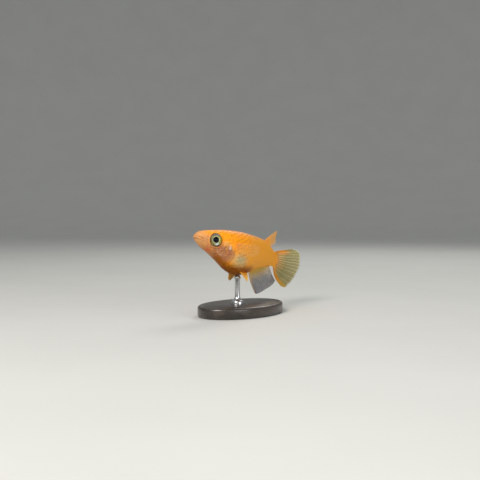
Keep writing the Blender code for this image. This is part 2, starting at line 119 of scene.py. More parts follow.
# Soft marks of colour: centre by share, aside and up, radii, and softness of the edge
BROW = ((0.110, 0.0, 0.118), (0.065, 0.07, 0.034), 0.8)
GILL_COVER = ((0.199, 0.075, -0.048), (0.116, 0.14, 0.091), 0.48)
TEMPLE = ((0.206, 0.075, 0.026), (0.054, 0.12, 0.027), 0.9)
# A painted highlight: the glint at the gill cover's rear edge
PAINTED_HIGHLIGHT = ((0.242, 0.086, 0.000), (0.015, 0.05, 0.024), 1.0)
SILVER_PATCH = ((0.345, 0.100, -0.079), (0.112, 0.09, 0.077), 0.95)
# Reddish places below the jaw, under the eye and on the gill cover's edge, with their strength
BLUSHES = (((0.090, 0.032, -0.038), (0.031, 0.055, 0.046), 0.80),
           ((0.160, 0.062, -0.004), (0.016, 0.050, 0.010), 0.70),
           ((0.236, 0.082, -0.036), (0.016, 0.050, 0.016), 0.35))
TEMPLE_COLOUR = (0.72, 0.31, 0.085)
# Colour of the painted highlight on the gill cover
PAINTED_HIGHLIGHT_COLOUR = (0.84, 0.72, 0.70)
FOLD_COLOUR = (0.80, 0.46, 0.26)
GRAIN_COLOUR = (1.0, 0.52, 0.05)
FLECK_COLOUR = (0.92, 0.50, 0.16)
SCALE_RIM_COLOUR = (1.0, 0.62, 0.14)
# How far red, green and blue light spread under the skin, next to each other
FLESH_SPREAD = (1.0, 0.45, 0.20)


def curve(points):
    """A smooth curve through the points that keeps each rise and fall between them."""
    xs = np.array([point[0] for point in points], float)
    ys = np.array([point[1] for point in points], float)
    steps = np.diff(xs)
    slopes = np.diff(ys) / steps
    tangents = np.zeros(len(xs))
    before, after = slopes[:-1], slopes[1:]
    turning = before * after <= 0.0
    safe_before = np.where(before == 0.0, 1.0, before)
    safe_after = np.where(after == 0.0, 1.0, after)
    near = 2.0 * steps[1:] + steps[:-1]
    far = steps[1:] + 2.0 * steps[:-1]
    tangents[1:-1] = np.where(turning, 0.0, (near + far) / (near / safe_before + far / safe_after))
    tangents[0], tangents[-1] = slopes[0], slopes[-1]

    def value(x):
        x = np.asarray(x, float)
        i = np.clip(np.searchsorted(xs, x) - 1, 0, len(xs) - 2)
        t = (x - xs[i]) / steps[i]
        start = (2 * t**3 - 3 * t**2 + 1) * ys[i] + (t**3 - 2 * t**2 + t) * steps[i] * tangents[i]
        end = (-2 * t**3 + 3 * t**2) * ys[i + 1] + (t**3 - t**2) * steps[i] * tangents[i + 1]
        return start + end

    return value


back_height = curve(BACK)
belly_height = curve(BELLY)
half_width = curve(WIDTH)
widest_height = curve(WIDEST)
upper_form = curve(UPPER_FORM)
lower_form = curve(LOWER_FORM)
cover_edge = curve(COVER_EDGE)


def trace_midline():
    """Shares, places and headings along the midline, in body lengths."""
    heading = curve(HEADING)
    shares = np.arange(0.0, HEADING[-1][0] + MIDLINE_STEP / 2, MIDLINE_STEP)
    half = np.radians(heading(shares[:-1] + MIDLINE_STEP / 2))
    x = np.concatenate([[0.0], np.cumsum(np.cos(half) * MIDLINE_STEP)])
    y = np.concatenate([[0.0], np.cumsum(np.sin(half) * MIDLINE_STEP)])
    centre_x = np.interp(CENTRE_SHARE, shares, x)
    centre_y = np.interp(CENTRE_SHARE, shares, y)
    return shares, x - centre_x, y - centre_y, np.radians(heading(shares))


MIDLINE = trace_midline()


def smooth(x):
    """0 up to 0 and 1 from 1 on, with a soft rise between them."""
    x = np.clip(x, 0.0, 1.0)
    return x * x * (3.0 - 2.0 * x)


def bump(distance, width):
    """1 at no distance, falling to nothing over about twice the width."""
    return np.exp(-((distance / width) ** 2))


def unit(vectors):
    """The vectors, each brought to length 1."""
    return vectors / np.maximum(np.linalg.norm(vectors, axis=-1, keepdims=True), 1e-12)


def section(share, angle):
    """A place on the body's surface; angle 0 is the back, pi the belly, minus the left side."""
    share, angle = np.broadcast_arrays(np.asarray(share, float), np.asarray(angle, float))
    angle = (angle + math.pi) % (2.0 * math.pi) - math.pi
    turn = np.abs(angle)
    middle = widest_height(share)
    above = turn <= math.pi / 2
    form = np.where(above, upper_form(share), lower_form(share))
    reach = np.where(above, back_height(share) - middle, middle - belly_height(share))
    side = half_width(share) * np.abs(np.sin(turn)) ** (2.0 / form) * np.sign(angle)
    up = middle + np.sign(np.cos(turn)) * reach * np.abs(np.cos(turn)) ** (2.0 / form)
    return np.stack([share, side, up], -1)


def belly_up(share, side):
    """Height of the belly's surface at a distance from the middle plane."""
    middle = widest_height(share)
    form = lower_form(share)
    level = (1.0 - np.clip(side / half_width(share), 0.0, 0.98) ** form) ** (1.0 / form)
    return middle - (middle - belly_height(share)) * level


def place(spots, body):
    """Places on the straight fish, in body lengths, as points of the model in metres."""
    spots = np.asarray(spots, float)
    shares, xs, ys, headings = MIDLINE
    share = spots[..., 0]
    heading = np.interp(share, shares, headings)
    before = np.minimum(share, 0.0)
    x = np.interp(share, shares, xs) + before * np.cos(heading) - np.sin(heading) * spots[..., 1]
    y = np.interp(share, shares, ys) + before * np.sin(heading) + np.cos(heading) * spots[..., 1]
    z = spots[..., 2]
    along = x * math.cos(body.pitch) + z * math.sin(body.pitch)
    high = -x * math.sin(body.pitch) + z * math.cos(body.pitch)
    return np.stack([along, y, high], -1) * body.length + (0.0, 0.0, body.height)


def grid_faces(rows, columns, closed=False):
    """Quads of a grid of points stored row by row; closed joins each row's end to its start."""
    across = np.arange(columns if closed else columns - 1)
    following = (across + 1) % columns
    lines = (np.arange(rows - 1) * columns)[:, None]
    quads = np.stack([lines + across, lines + following, lines + columns + following,
                      lines + columns + across], -1)
    return quads.reshape(-1, 4)


def capped_faces(rows, columns):
    """Faces of a tube of closed rows whose two tips are the last two points."""
    faces = [tuple(face) for face in grid_faces(rows, columns, closed=True)]
    tip = rows * columns
    last = tip - columns
    for i in range(columns):
        j = (i + 1) % columns
        faces.append((j, i, tip))
        faces.append((last + i, last + j, tip + 1))
    return faces


def sheet_faces(rows, columns):
    """Quads of a thin closed solid: an upper grid, then a lower grid, and a rim round both."""
    top = grid_faces(rows, columns)
    count = rows * columns
    bottom = top[:, ::-1] + count
    edge = list(range(columns))
    edge += [columns * (i + 1) - 1 for i in range(1, rows)]
    edge += [count - 1 - i for i in range(1, columns)]
    edge += [columns * (rows - 1 - i) for i in range(1, rows - 1)]
    rim = [(b, a, a + count, b + count) for a, b in zip(edge, edge[1:] + edge[:1])]
    return np.concatenate([top, bottom, np.array(rim)])


def new_mesh(name, points, faces, edges=(), flip=False):
    """A smooth mesh from points and quads or triangles."""
    mesh = bpy.data.meshes.new(name)
    if flip:
        faces = [tuple(face)[::-1] for face in faces]
    mesh.from_pydata(np.asarray(points).reshape(-1, 3).tolist(), edges,
                     [tuple(int(i) for i in face) for face in faces])
    if len(faces):
        mesh.shade_smooth()
    return mesh


def add_attribute(mesh, name, values, kind="FLOAT_VECTOR"):
    """Stores a vector or a number at each point of a mesh."""
    layer = mesh.attributes.new(name, kind, "POINT")
    key = "vector" if kind == "FLOAT_VECTOR" else "value"
    layer.data.foreach_set(key, np.asarray(values, np.float32).ravel())


def outward(mesh):
    """Turns the faces outwards if the closed mesh has a negative volume."""
    mesh.calc_loop_triangles()
    points = np.zeros(len(mesh.vertices) * 3)
    mesh.vertices.foreach_get("co", points)
    points = points.reshape(-1, 3)
    corners = np.zeros(len(mesh.loop_triangles) * 3, int)
    mesh.loop_triangles.foreach_get("vertices", corners)
    a, b, c = (points[corners.reshape(-1, 3)[:, i]] - points.mean(0) for i in range(3))
    if np.einsum("ij,ij->i", a, np.cross(b, c)).sum() < 0.0:
        mesh.flip_normals()


def new_piece(name, mesh, paint, replaced=()):
    """Links a finished mesh as a piece of the model."""
    mesh.materials.clear()
    mesh.materials.append(paint)
    piece = bpy.data.objects.new(name, mesh)
    bpy.context.scene.collection.objects.link(piece)
    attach(piece, ROOT)
    if replaced:
        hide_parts(*replaced)
    return piece


class Paint:
    """A material under construction, with short calls for the nodes it needs."""

    def __init__(self, name):
        self.material = bpy.data.materials.new(name)
        self.material.use_nodes = True
        self.nodes = self.material.node_tree.nodes
        self.links = self.material.node_tree.links
        self.shader = self.nodes["Principled BSDF"]

    def feed(self, socket, value):
        """Links a value from another node, or sets a number or colour."""
        if hasattr(value, "is_output"):
            self.links.new(value, socket)
        elif socket.type == "RGBA":
            socket.default_value = (*value, 1.0)
        else:
            socket.default_value = value

    def set(self, **values):
        """Feeds the shader's sockets, named with low lines for their spaces."""
        for name, value in values.items():
            self.feed(self.shader.inputs[name.replace("_", " ")], value)

    def add(self, kind, *values, **settings):
        """A node with its settings, its first sockets fed with the values."""
        node = self.nodes.new(kind)
        for key, value in settings.items():
            setattr(node, key, value)
        for socket, value in zip(node.inputs, values):
            self.feed(socket, value)
        return node

    def attribute(self, name):
        """A vector stored in the mesh."""
        return self.add("ShaderNodeAttribute", attribute_name=name).outputs["Vector"]

    def object_place(self):
        """The place in metres."""
        return self.add("ShaderNodeTexCoord").outputs["Object"]

    def split(self, vector):
        """The three parts of a vector."""
        return tuple(self.add("ShaderNodeSeparateXYZ", vector).outputs)

    def math(self, operation, a, b=0.0, clamp=False):
        """One calculation with two values."""
        return self.add("ShaderNodeMath", a, b, operation=operation, use_clamp=clamp).outputs[0]

    def plus(self, a, b):
        """The sum of two values."""
        return self.math("ADD", a, b)

    def less(self, a, b):
        """The first value less the second."""
        return self.math("SUBTRACT", a, b)

    def times(self, a, b):
        """The product of two values."""
        return self.math("MULTIPLY", a, b)

    def most(self, a, b):
        """The larger of two values."""
        return self.math("MAXIMUM", a, b)

    def span(self, value, low, high, start=0.0, end=1.0):
        """Eases from start to end as the value goes from low to high."""
        return self.add("ShaderNodeMapRange", value, low, high, start, end,
                        interpolation_type="SMOOTHSTEP").outputs[0]

    def spot(self, vector, centre, radii, softness):
        """1 inside an ellipsoid at centre, easing to 0 at its radii."""
        node = self.add("ShaderNodeMapping", vector, vector_type="TEXTURE")
        node.inputs["Location"].default_value = centre
        node.inputs["Scale"].default_value = radii
        length = self.add("ShaderNodeVectorMath", node.outputs[0], operation="LENGTH")
        return self.span(length.outputs["Value"], 1.0 - softness, 1.0, 1.0, 0.0)

    def far(self, across, up, centre_across, centre_up):
        """Distance from a centre in the side view."""
        offsets = (self.less(across, centre_across), self.less(up, centre_up))
        squares = [self.times(value, value) for value in offsets]
        return self.math("SQRT", self.plus(*squares))

    def ring(self, across, up, centre_across, centre_up, radius, width):
        """1 on a circle in the side view, easing to 0 at the width on both sides."""
        distance = self.far(across, up, centre_across, centre_up)
        gap = self.math("ABSOLUTE", self.less(distance, radius))
        return self.span(gap, 0.0, width, 1.0, 0.0)

    def noise(self, vector, scale, detail=3.0, roughness=0.5, stretch=None):
        """Soft clouds; stretch makes them narrower along the axes where it is large."""
        if stretch:
            node = self.add("ShaderNodeMapping", vector)
            node.inputs["Scale"].default_value = stretch
            vector = node.outputs[0]
        node = self.add("ShaderNodeTexNoise", vector)
        node.inputs["Scale"].default_value = scale
        node.inputs["Detail"].default_value = detail
        node.inputs["Roughness"].default_value = roughness
        return node.outputs["Fac"]

    def cells(self, vector, scale):
        """Distance from the nearest of scattered points."""
        node = self.add("ShaderNodeTexVoronoi", vector)
        node.inputs["Scale"].default_value = scale
        return node.outputs["Distance"]

    def waves(self, vector, scale, distortion=0.0, **settings):
        """Even ripples, in bands or rings as the settings say."""
        node = self.add("ShaderNodeTexWave", vector, **settings)
        node.inputs["Scale"].default_value = scale
        node.inputs["Distortion"].default_value = distortion
        return node.outputs["Fac"]

    def mix(self, amount, under, over):
        """The colour under, covered by the colour over as far as the amount says."""
        node = self.add("ShaderNodeMix", amount, data_type="RGBA")
        self.feed(node.inputs[6], under)
        self.feed(node.inputs[7], over)
        return node.outputs[2]

    def tint(self, under, over, amount, *shares):
        """A mix whose amount is multiplied by each share."""
        for share in shares:
            amount = self.times(amount, share)
        return self.mix(amount, under, over)

    def relief(self, height, strength, distance):
        """Bumps of the surface, as a normal."""
        node = self.add("ShaderNodeBump")
        node.inputs["Strength"].default_value = strength
        node.inputs["Distance"].default_value = distance
        self.links.new(height, node.inputs["Height"])
        return node.outputs["Normal"]


def colour_property(name, text, value):
    """A colour that the user can change."""
    return bpy.props.FloatVectorProperty(name=name, description=text, subtype="COLOR", size=3,
                                         min=0.0, max=1.0, default=value)


def length_property(name, text, value):
    """A length in metres that the user can change."""
    return bpy.props.FloatProperty(name=name, description=text, subtype="DISTANCE", unit="LENGTH",
                                   default=value)


def angle_property(name, text, degrees):
    """An angle that the user can change."""
    return bpy.props.FloatProperty(name=name, description=text, subtype="ANGLE", unit="ROTATION",
                                   default=math.radians(degrees))


class MedakaBody(bpy.types.PropertyGroup):
    """Size and pose of the fish."""
    length: length_property("Length", "From the snout to the end of the tail stalk", 0.031)
    height: length_property("Height", "Of the midline's middle over the table", 0.0145)
    pitch: angle_property("Pitch", "How far the nose points up", 8.5)
    eye_radius: length_property("Eye radius", "Of the eyeball, seen from the side", 0.00148)
    eye_depth: length_property("Eye depth", "From the eyeball's middle outwards", 0.00105)
    eye_turn: angle_property("Eye turn", "How far the eyes look forward", 19.0)
    pupil_radius: length_property("Pupil radius", "Of the black pupil", 0.00072)


class MedakaColours(bpy.types.PropertyGroup):
    """Colours of the skin, from the back to the belly."""
    back: colour_property("Back", "The saturated band below the back", (1.0, 0.30, 0.001))
    crown: colour_property("Crown", "Edge of the back and top of the head", (0.76, 0.25, 0.075))
    snout: colour_property("Snout", "The pale snout", (0.56, 0.262, 0.100))
    cheek: colour_property("Cheek", "Between the snout and the gill cover", (0.50, 0.20, 0.075))
    cover: colour_property("Gill cover", "The brownish pink gill cover", (0.262, 0.096, 0.062))
    flank: colour_property("Flank", "The light orange flank and tail", (1.0, 0.355, 0.016))
    patch: colour_property("Patch", "The pale silver patch of the belly", (0.525, 0.41, 0.212))
    # Underside: deep orange pigment, darkened further as painted shade under the body
    under: colour_property("Underside", "The deep orange underside", (0.26, 0.054, 0.0))
    throat: colour_property("Throat", "The reddish throat", (0.60, 0.10, 0.04))


class MedakaScales(bpy.types.PropertyGroup):
    """The coat of scales."""
    rows: bpy.props.IntProperty(name="Rows", description="Rows of scales round the body", default=26)
    pitch: bpy.props.FloatProperty(name="Pitch", description="Spacing along the body, in body lengths",
                                   default=0.0265)
    lift: length_property("Lift", "Height of a scale's free edge over the skin", 0.000034)
    patch: bpy.props.FloatProperty(name="Patch", description="Size of a scale's patch in its map",
                                   default=0.003)
    seed: bpy.props.IntProperty(name="Seed", description="Of the small differences", default=7)


class MedakaFins(bpy.types.PropertyGroup):
    """The fins."""
    web: length_property("Web", "Thickness of the membrane at its root", 0.00012)
    ray: length_property("Ray", "Radius of a ray at its root", 0.000085)
    sides: bpy.props.IntProperty(name="Sides", description="Faces round a ray", default=6)


class MedakaStand(bpy.types.PropertyGroup):
    """The display stand."""
    rod: length_property("Rod radius", "Of the steel rod", 0.0006)
    wood: colour_property("Wood", "Dark stained wood", (0.022, 0.016, 0.012))
    steel: colour_property("Steel", "Brushed rod", (0.56, 0.56, 0.57))


class MedakaStage(bpy.types.PropertyGroup):
    """Camera and floor."""
    azimuth: angle_property("Azimuth", "Of the camera, from the fish's left side", -53.8)
    elevation: angle_property("Elevation", "Of the camera", 2.0)
    view_angle: angle_property("View angle", "Of the square picture", 34.0)
    scale: bpy.props.FloatProperty(name="Scale", description="Picture pixels to a millimetre",
                                   default=4.34)
    pixel_x: bpy.props.FloatProperty(name="Pixel across", description="Where the body's middle lies",
                                     default=241.1)
    pixel_y: bpy.props.FloatProperty(name="Pixel down", description="Where the body's middle lies",
                                     default=251.15)
    floor: colour_property("Floor", "Pale floor and backdrop", (0.56, 0.56, 0.53))


# Rings of the skin: on the snout's cap, to the end of the head, and on to the tail fin
CAP_RINGS = 9
HEAD_RINGS = 176
BODY_RINGS = 150
HEAD_END = 0.30
RING_SIDES = 216
# The ring of the trunk that shows which way the surface faces
TRUNK_RING = 200


def eye_relief(share, up):
    """Socket, rim, groove and raised pores of the eye."""
    away = np.hypot(share - EYE_SHARE, up - EYE_UP)
    turn = np.arctan2(up - EYE_UP, EYE_SHARE - share)
    radius, width, depth = SOCKET
    out = -depth * smooth((radius - away) / width)
    for radius, width, height in EYE_RINGS:
        out += height * bump(away - radius, width)
    over_eye = smooth((turn + 0.3) / 0.4) * smooth((2.6 - turn) / 0.4)
    width, height = PORE_SIZE
    for radius, count in PORE_ARCS:
        out += height * bump(away - radius, width) * np.cos(turn * count) ** 8 * over_eye
    return out


def mouth_relief(share, up):
    """Slit and lips of the shut mouth."""
    over_slit = up - (MOUTH_HEIGHT - MOUTH_DROP * np.clip(share / MOUTH_LENGTH, 0.0, 1.3))
    fade = smooth((MOUTH_LENGTH - share) / 0.010)
    return sum(out * bump(over_slit - offset, width) for offset, width, out in LIPS) * fade


def nostril_relief(share, aside, up):
    """A pit with a raised rim for each nostril."""
    out = 0.0
    for where, degrees, radius in NOSTRILS:
        pit = section(where, math.radians(degrees))
        away = np.sqrt((share - where) ** 2 + (aside - pit[1]) ** 2 + (up - pit[2]) ** 2)
        out += NOSTRIL_RIM * bump(away - 1.5 * radius, 0.6 * radius)
        out -= NOSTRIL_PIT * bump(away, 0.8 * radius)
    return out


def cover_relief(share, up, angle, on_side):
    """Gill cover: flared rear edge, groove behind it, arc round the cheek and curved folds."""
    behind = share - cover_edge(np.abs(angle) / math.pi)
    around = np.sin(angle) ** 2
    ahead = np.clip(1.0 + behind / 0.10, 0.0, 1.0) ** 2
    flared = np.where(behind < 0.0, ahead, bump(behind, 0.0042))
    out = (COVER_FLARE * flared - COVER_GROOVE * bump(behind - 0.0065, 0.0042)) * around
    where, height, radius = CHEEK_ARC
    arc = np.hypot(share - where, (up - height) * 0.92) - radius
    low_side = on_side * smooth((0.036 - up) / 0.03) * smooth((share - 0.10) / 0.04)
    out += (0.0010 * bump(arc + 0.009, 0.006) - 0.0020 * bump(arc, 0.0034)) * low_side
    for where, height, radius in COVER_FOLDS:
        fold = np.hypot(share - where, up - height) - radius
        shown = smooth((where + height + 0.006 - share - up) / 0.014)
        out += 0.0007 * bump(fold, 0.0026) * shown * on_side * (behind < -0.010)
    return out


def throat_relief(share, aside, angle):
    """A groove on each side under the throat."""
    under = smooth((np.abs(angle) - math.radians(150.0)) / 0.35) * (share < 0.24)
    return -0.0016 * bump(aside - 0.022, 0.0045) * under * smooth((share - 0.05) / 0.05)


def skin_relief(spots, angle):
    """How far the skin stands out from the plain body, in body lengths."""
    share, aside, up = spots[..., 0], np.abs(spots[..., 1]), spots[..., 2]
    on_side = smooth((aside - 0.030) / 0.012)
    lip_hollow = -0.0016 * bump(share - 0.060, 0.010) * bump(up - 0.030, 0.016) * on_side
    return (eye_relief(share, up) * on_side + mouth_relief(share, up) + lip_hollow
            + nostril_relief(share, aside, up) + cover_relief(share, up, angle, on_side)
            + throat_relief(share, aside, angle))


def skin_grid():
    """Places of the plain body from the snout's tip to the tail fin, and of the skin over it."""
    cap = np.radians(np.linspace(86.0, 8.0, CAP_RINGS))
    shares = np.concatenate([np.zeros(CAP_RINGS), np.linspace(0.0, HEAD_END, HEAD_RINGS),
                             np.linspace(HEAD_END + 0.0025, SKIN_END, BODY_RINGS)])
    angle = np.linspace(-math.pi, math.pi, RING_SIDES, endpoint=False)
    grid_share, grid_angle = np.meshgrid(shares, angle, indexing="ij")
    spots = section(grid_share, grid_angle)
    middle = float(widest_height(0.0))
    for i, turn in enumerate(cap):
        spots[i, :, 0] = -SNOUT_CAP * math.sin(turn)
        spots[i, :, 1] *= math.cos(turn)
        spots[i, :, 2] = middle + (spots[i, :, 2] - middle) * math.cos(turn)
    along = np.gradient(spots, axis=0)
    around = (np.roll(spots, -1, 1) - np.roll(spots, 1, 1)) / 2.0
    normal = unit(np.cross(along, around))
    upwards = spots[TRUNK_RING, :, 2] - widest_height(shares[TRUNK_RING])
    if (normal[TRUNK_RING, :, 2] * upwards).sum() < 0.0:
        normal = -normal
    return spots, spots + normal * skin_relief(spots, grid_angle)[..., None]


def make_skin_mesh(body):
    """The skin as one closed mesh, each point with its place on the plain body."""
    plain, raised = skin_grid()
    tips = np.array([[-SNOUT_CAP, 0.0, float(widest_height(0.0))], [SKIN_END + 0.001, 0.0, -0.012]])
    points = np.concatenate([raised.reshape(-1, 3), tips])
    mesh = new_mesh("fish_skin", place(points, body), capped_faces(*plain.shape[:2]))
    outward(mesh)
    add_attribute(mesh, "fish_place", np.concatenate([plain.reshape(-1, 3), tips]))
    return mesh


def paint_markings(paint, colours):
    """Colour of the fish by its places along, aside and up, and how far the silver patch covers."""
    spot = paint.attribute("fish_place")
    share, side, up = paint.split(spot)
    both = paint.add("ShaderNodeCombineXYZ", share, paint.math("ABSOLUTE", side), up).outputs[0]
    large = paint.noise(spot, 14.0)
    level = paint.plus(up, paint.times(paint.less(large, 0.5), 0.045))

    # The back's colour fades into the flank's downwards and towards the tail
    colour = paint.mix(paint.span(level, -0.020, 0.050), colours.flank, colours.back)
    colour = paint.mix(paint.span(share, 0.38, 0.60, 0.0, 0.85), colour, colours.flank)

    # Crown, cheek and snout
    crest = paint.most(paint.span(level, 0.100, 0.132), paint.spot(both, *BROW))
    colour = paint.tint(colour, colours.crown, crest, 0.8)
    face = paint.span(share, 0.185, 0.105)
    colour = paint.tint(colour, colours.cheek, face, paint.span(level, 0.100, 0.050))
    colour = paint.tint(colour, colours.snout, paint.span(share, 0.085, 0.012), 0.9)

    # Gill cover with its broken pale folds, the temple over it and a painted highlight, the glint, at its
    # edge
    cover = paint.spot(both, *GILL_COVER)
    mottle = paint.span(paint.noise(spot, 42.0), 0.32, 0.66, 1.0, 0.78)
    colour = paint.tint(colour, colours.cover, cover, mottle)
    broken = paint.times(cover, paint.span(large, 0.40, 0.62, 0.06, 0.40))
    for where, height, radius in COVER_FOLDS:
        ring = paint.ring(share, up, where, height, radius, 0.0042)
        end = where + height
        half = paint.span(paint.plus(share, up), end + 0.008, end - 0.008)
        colour = paint.tint(colour, FOLD_COLOUR, ring, broken, half)
    colour = paint.tint(colour, TEMPLE_COLOUR, paint.spot(both, *TEMPLE), 0.8)
    colour = paint.tint(colour, PAINTED_HIGHLIGHT_COLOUR, paint.spot(both, *PAINTED_HIGHLIGHT), 0.50)

    # Deep orange underside and throat, darkened partly as painted shade under the body, with the reddish
    # places
    belly = paint.span(level, -0.085, -0.140)
    colour = paint.tint(colour, colours.under, belly, paint.span(share, 0.60, 0.48))
    # Under the throat the same dark colour stands partly for painted shade
    slope = paint.plus(level, paint.times(share, 0.78))
    throat = paint.times(paint.span(slope, 0.100, 0.066), paint.span(share, 0.36, 0.26))
    throat = paint.times(throat, paint.span(share, 0.130, 0.190))
    colour = paint.tint(colour, colours.under, throat, 0.95)
    for centre, radii, strength in BLUSHES:
        colour = paint.tint(colour, colours.throat, paint.spot(both, centre, radii, 0.9), strength)

    # Silver patch, then a fine grain all over and pale flecks on the head
    patch = paint.spot(both, *SILVER_PATCH)
    colour = paint.mix(patch, colour, colours.patch)
    fine = paint.noise(spot, 90.0, 4.0, 0.6)
    colour = paint.tint(colour, GRAIN_COLOUR, paint.span(fine, 0.35, 0.70), 0.18)
    flecks = paint.span(paint.cells(spot, 120.0), 0.10, 0.34, 1.0, 0.0)
    on_head = paint.times(paint.span(share, 0.27, 0.20), paint.span(fine, 0.42, 0.60))
    off_throat = paint.less(0.40, paint.times(throat, 0.34))
    colour = paint.tint(colour, FLECK_COLOUR, flecks, on_head, off_throat)
    return colour, patch


def skin_material(colours):
    """Wet skin with fine bumps and pores."""
    paint = Paint("wet_skin")
    spot = paint.attribute("fish_place")
    bumps = paint.noise(spot, 170.0, 3.0, 0.55)
    height = paint.plus(bumps, paint.times(paint.cells(spot, 150.0), 0.5))
    paint.set(Base_Color=paint_markings(paint, colours)[0], Roughness=0.46,
              Normal=paint.relief(height, 0.30, 0.00006), Specular_IOR_Level=0.15,
              Coat_Weight=0.05, Coat_Roughness=0.22, Subsurface_Weight=0.15,
              Subsurface_Scale=0.0006, Subsurface_Radius=FLESH_SPREAD)
    return paint.material


def scale_material(colours):
    """The skin's colours on the scales, lighter at the free edge and with growth rings."""
    paint = Paint("scales")
    colour, patch = paint_markings(paint, colours)
    spot = paint.attribute("plate_place")
    rim = paint.span(paint.split(spot)[0], 0.82, 1.0)
    rings = paint.waves(spot, 5.5, wave_type="RINGS", rings_direction="Z")
    paint.set(Base_Color=paint.tint(colour, SCALE_RIM_COLOUR, rim, 0.14), Roughness=0.50,
              Metallic=paint.times(patch, 0.28), Normal=paint.relief(rings, 0.12, 0.00002),
              Specular_IOR_Level=0.17, Coat_Weight=0.05, Coat_Roughness=0.20,
              Subsurface_Weight=0.15, Subsurface_Scale=0.0005, Subsurface_Radius=FLESH_SPREAD)
    return paint.material


class Tree:
    """A geometry tree under construction."""

    def __init__(self, name, inputs):
        self.tree = bpy.data.node_groups.new(name, "GeometryNodeTree")
        self.tree.is_modifier = True
        face = self.tree.interface
        face.new_socket(name="Geometry", in_out="INPUT", socket_type="NodeSocketGeometry")
        for label, kind in inputs:
            face.new_socket(name=label, in_out="INPUT", socket_type=kind)
        face.new_socket(name="Geometry", in_out="OUTPUT", socket_type="NodeSocketGeometry")
        self.inputs = self.tree.nodes.new("NodeGroupInput").outputs
        self.output = self.tree.nodes.new("NodeGroupOutput").inputs[0]

    def add(self, kind, values, **settings):
        """A node; values go to its sockets by name or number, from sockets or as they are."""
        node = self.tree.nodes.new(kind)
        for key, value in settings.items():
            setattr(node, key, value)
        for key, value in values.items():
            socket = node.inputs[key]
            if hasattr(value, "is_output"):
                self.tree.links.new(value, socket)
            else:
                socket.default_value = value
        return node.outputs

    def named(self, name, kind="FLOAT_VECTOR"):
        """The values of a named attribute."""
        return self.add("GeometryNodeInputNamedAttribute", {"Name": name}, data_type=kind)[0]

    def vector(self, operation, a, b):
        """One calculation with two vectors, or a vector scaled by a number."""
        values = {0: a, 3 if operation == "SCALE" else 1: b}
        return self.add("ShaderNodeVectorMath", values, operation=operation)[0]

    def finish(self, made, paint):
        """Ends the tree with real geometry, smooth and in its material."""
        made = self.add("GeometryNodeRealizeInstances", {0: made})[0]
        made = self.add("GeometryNodeSetShadeSmooth", {0: made})[0]
        made = self.add("GeometryNodeSetMaterial", {0: made, "Material": paint})[0]
        self.tree.links.new(made, self.output)

    def apply(self, mesh, values):
        """Runs the tree on a mesh and gives the result as a plain mesh."""
        source = bpy.data.objects.new("source", mesh)
        bpy.context.scene.collection.objects.link(source)
        modifier = source.modifiers.new(self.tree.name, "NODES")
        modifier.node_group = self.tree
        for item in self.tree.interface.items_tree:
            if item.in_out == "INPUT" and item.name in values:
                modifier[item.identifier] = values[item.name]
        bpy.context.view_layer.update()
        depsgraph = bpy.context.evaluated_depsgraph_get()
        made = bpy.data.meshes.new_from_object(source.evaluated_get(depsgraph))
        source.modifiers.clear()
        bpy.data.objects.remove(source)
        if not len(made.polygons):
            raise RuntimeError("the tree " + self.tree.name + " made no faces")
        return made


# Points along each side of a scale, and its length and width in spacings of the rows
PLATE_POINTS = 6
PLATE_LENGTH = 1.95
PLATE_WIDTH = 1.24
# Shares of the first row of scales and of the coat's end
FIRST_ROW = 0.105
COAT_END = 1.012
# The coat's map: body lengths to its width, and how much of its height a full turn takes
MAP_LENGTHS = 1.3
MAP_TURN = 0.9


def scale_plate():
    """One scale, from its root at 0 to its free edge at 1, with its lift in an attribute."""
    out, across = np.meshgrid(np.linspace(0.0, 1.0, PLATE_POINTS), np.linspace(-1.0, 1.0, PLATE_POINTS),
                              indexing="ij")
    rounded = 0.5 * np.sqrt(np.clip(1.0 - ((out - 0.4) / 0.62) ** 2, 0, 1))
    half = np.where(out < 0.4, 0.40 + 0.25 * out, rounded)
    top = np.stack([out - 0.10 * across**2 * out, across * half, 0.0 * out], -1).reshape(-1, 3)
    lift = (-0.9 + 1.9 * np.clip(out * 1.15, 0.0, 1.0) - 0.25 * across**2 * out).ravel()
    mesh = new_mesh("scale_plate", np.concatenate([top, top]), sheet_faces(PLATE_POINTS, PLATE_POINTS),
                    flip=True)
    add_attribute(mesh, "lift", np.concatenate([lift, lift - 0.6]), "FLOAT")
    add_attribute(mesh, "plate_place", np.concatenate([top, top]))
    return mesh


def scale_pitch(share, scales):
    """Spacing of the rows along the body, closer on the head and on the tail stalk."""
    on_tail = 1.0 - 0.38 * smooth((share - 0.55) / 0.40)
    return scales.pitch * on_tail * (0.72 + 0.28 * smooth(share / 0.3))


def scale_roots(scales):
    """Shares and angles of the scales' roots in offset rows, with their spacing along and around."""
    turn = np.linspace(0.0, math.pi, 181)
    half_rows = scales.rows / 2.0
    count = scales.rows // 2
    roots = []
    share, series = FIRST_ROW, 0
    while share < COAT_END:
        ring = section(share, turn)
        arc = np.concatenate([[0.0], np.cumsum(np.linalg.norm(np.diff(ring[:, 1:], axis=0), axis=1))])
        steps = np.arange(count + 1) if series % 2 else np.arange(count) + 0.5
        pitch = scale_pitch(share, scales)
        for angle in np.interp(steps / half_rows * arc[-1], arc, turn):
            for sign in ((1,) if angle in (0.0, math.pi) else (1, -1)):
                roots.append((share, sign * angle, pitch, arc[-1] / half_rows))
        share += pitch
        series += 1
    share, angle, along, around = np.array(roots).T
    turn = np.abs(angle)
    edge = cover_edge(turn / math.pi)
    on_body = share > edge + 0.003
    on_crown = (turn < math.radians(48.0)) & (share < edge)
    on_cover = (share > 0.185) & (share < edge - 0.040) & (turn > 1.1) & (turn < 1.9)
    keep = on_body | on_crown | on_cover
    return share[keep], angle[keep], along[keep], around[keep]


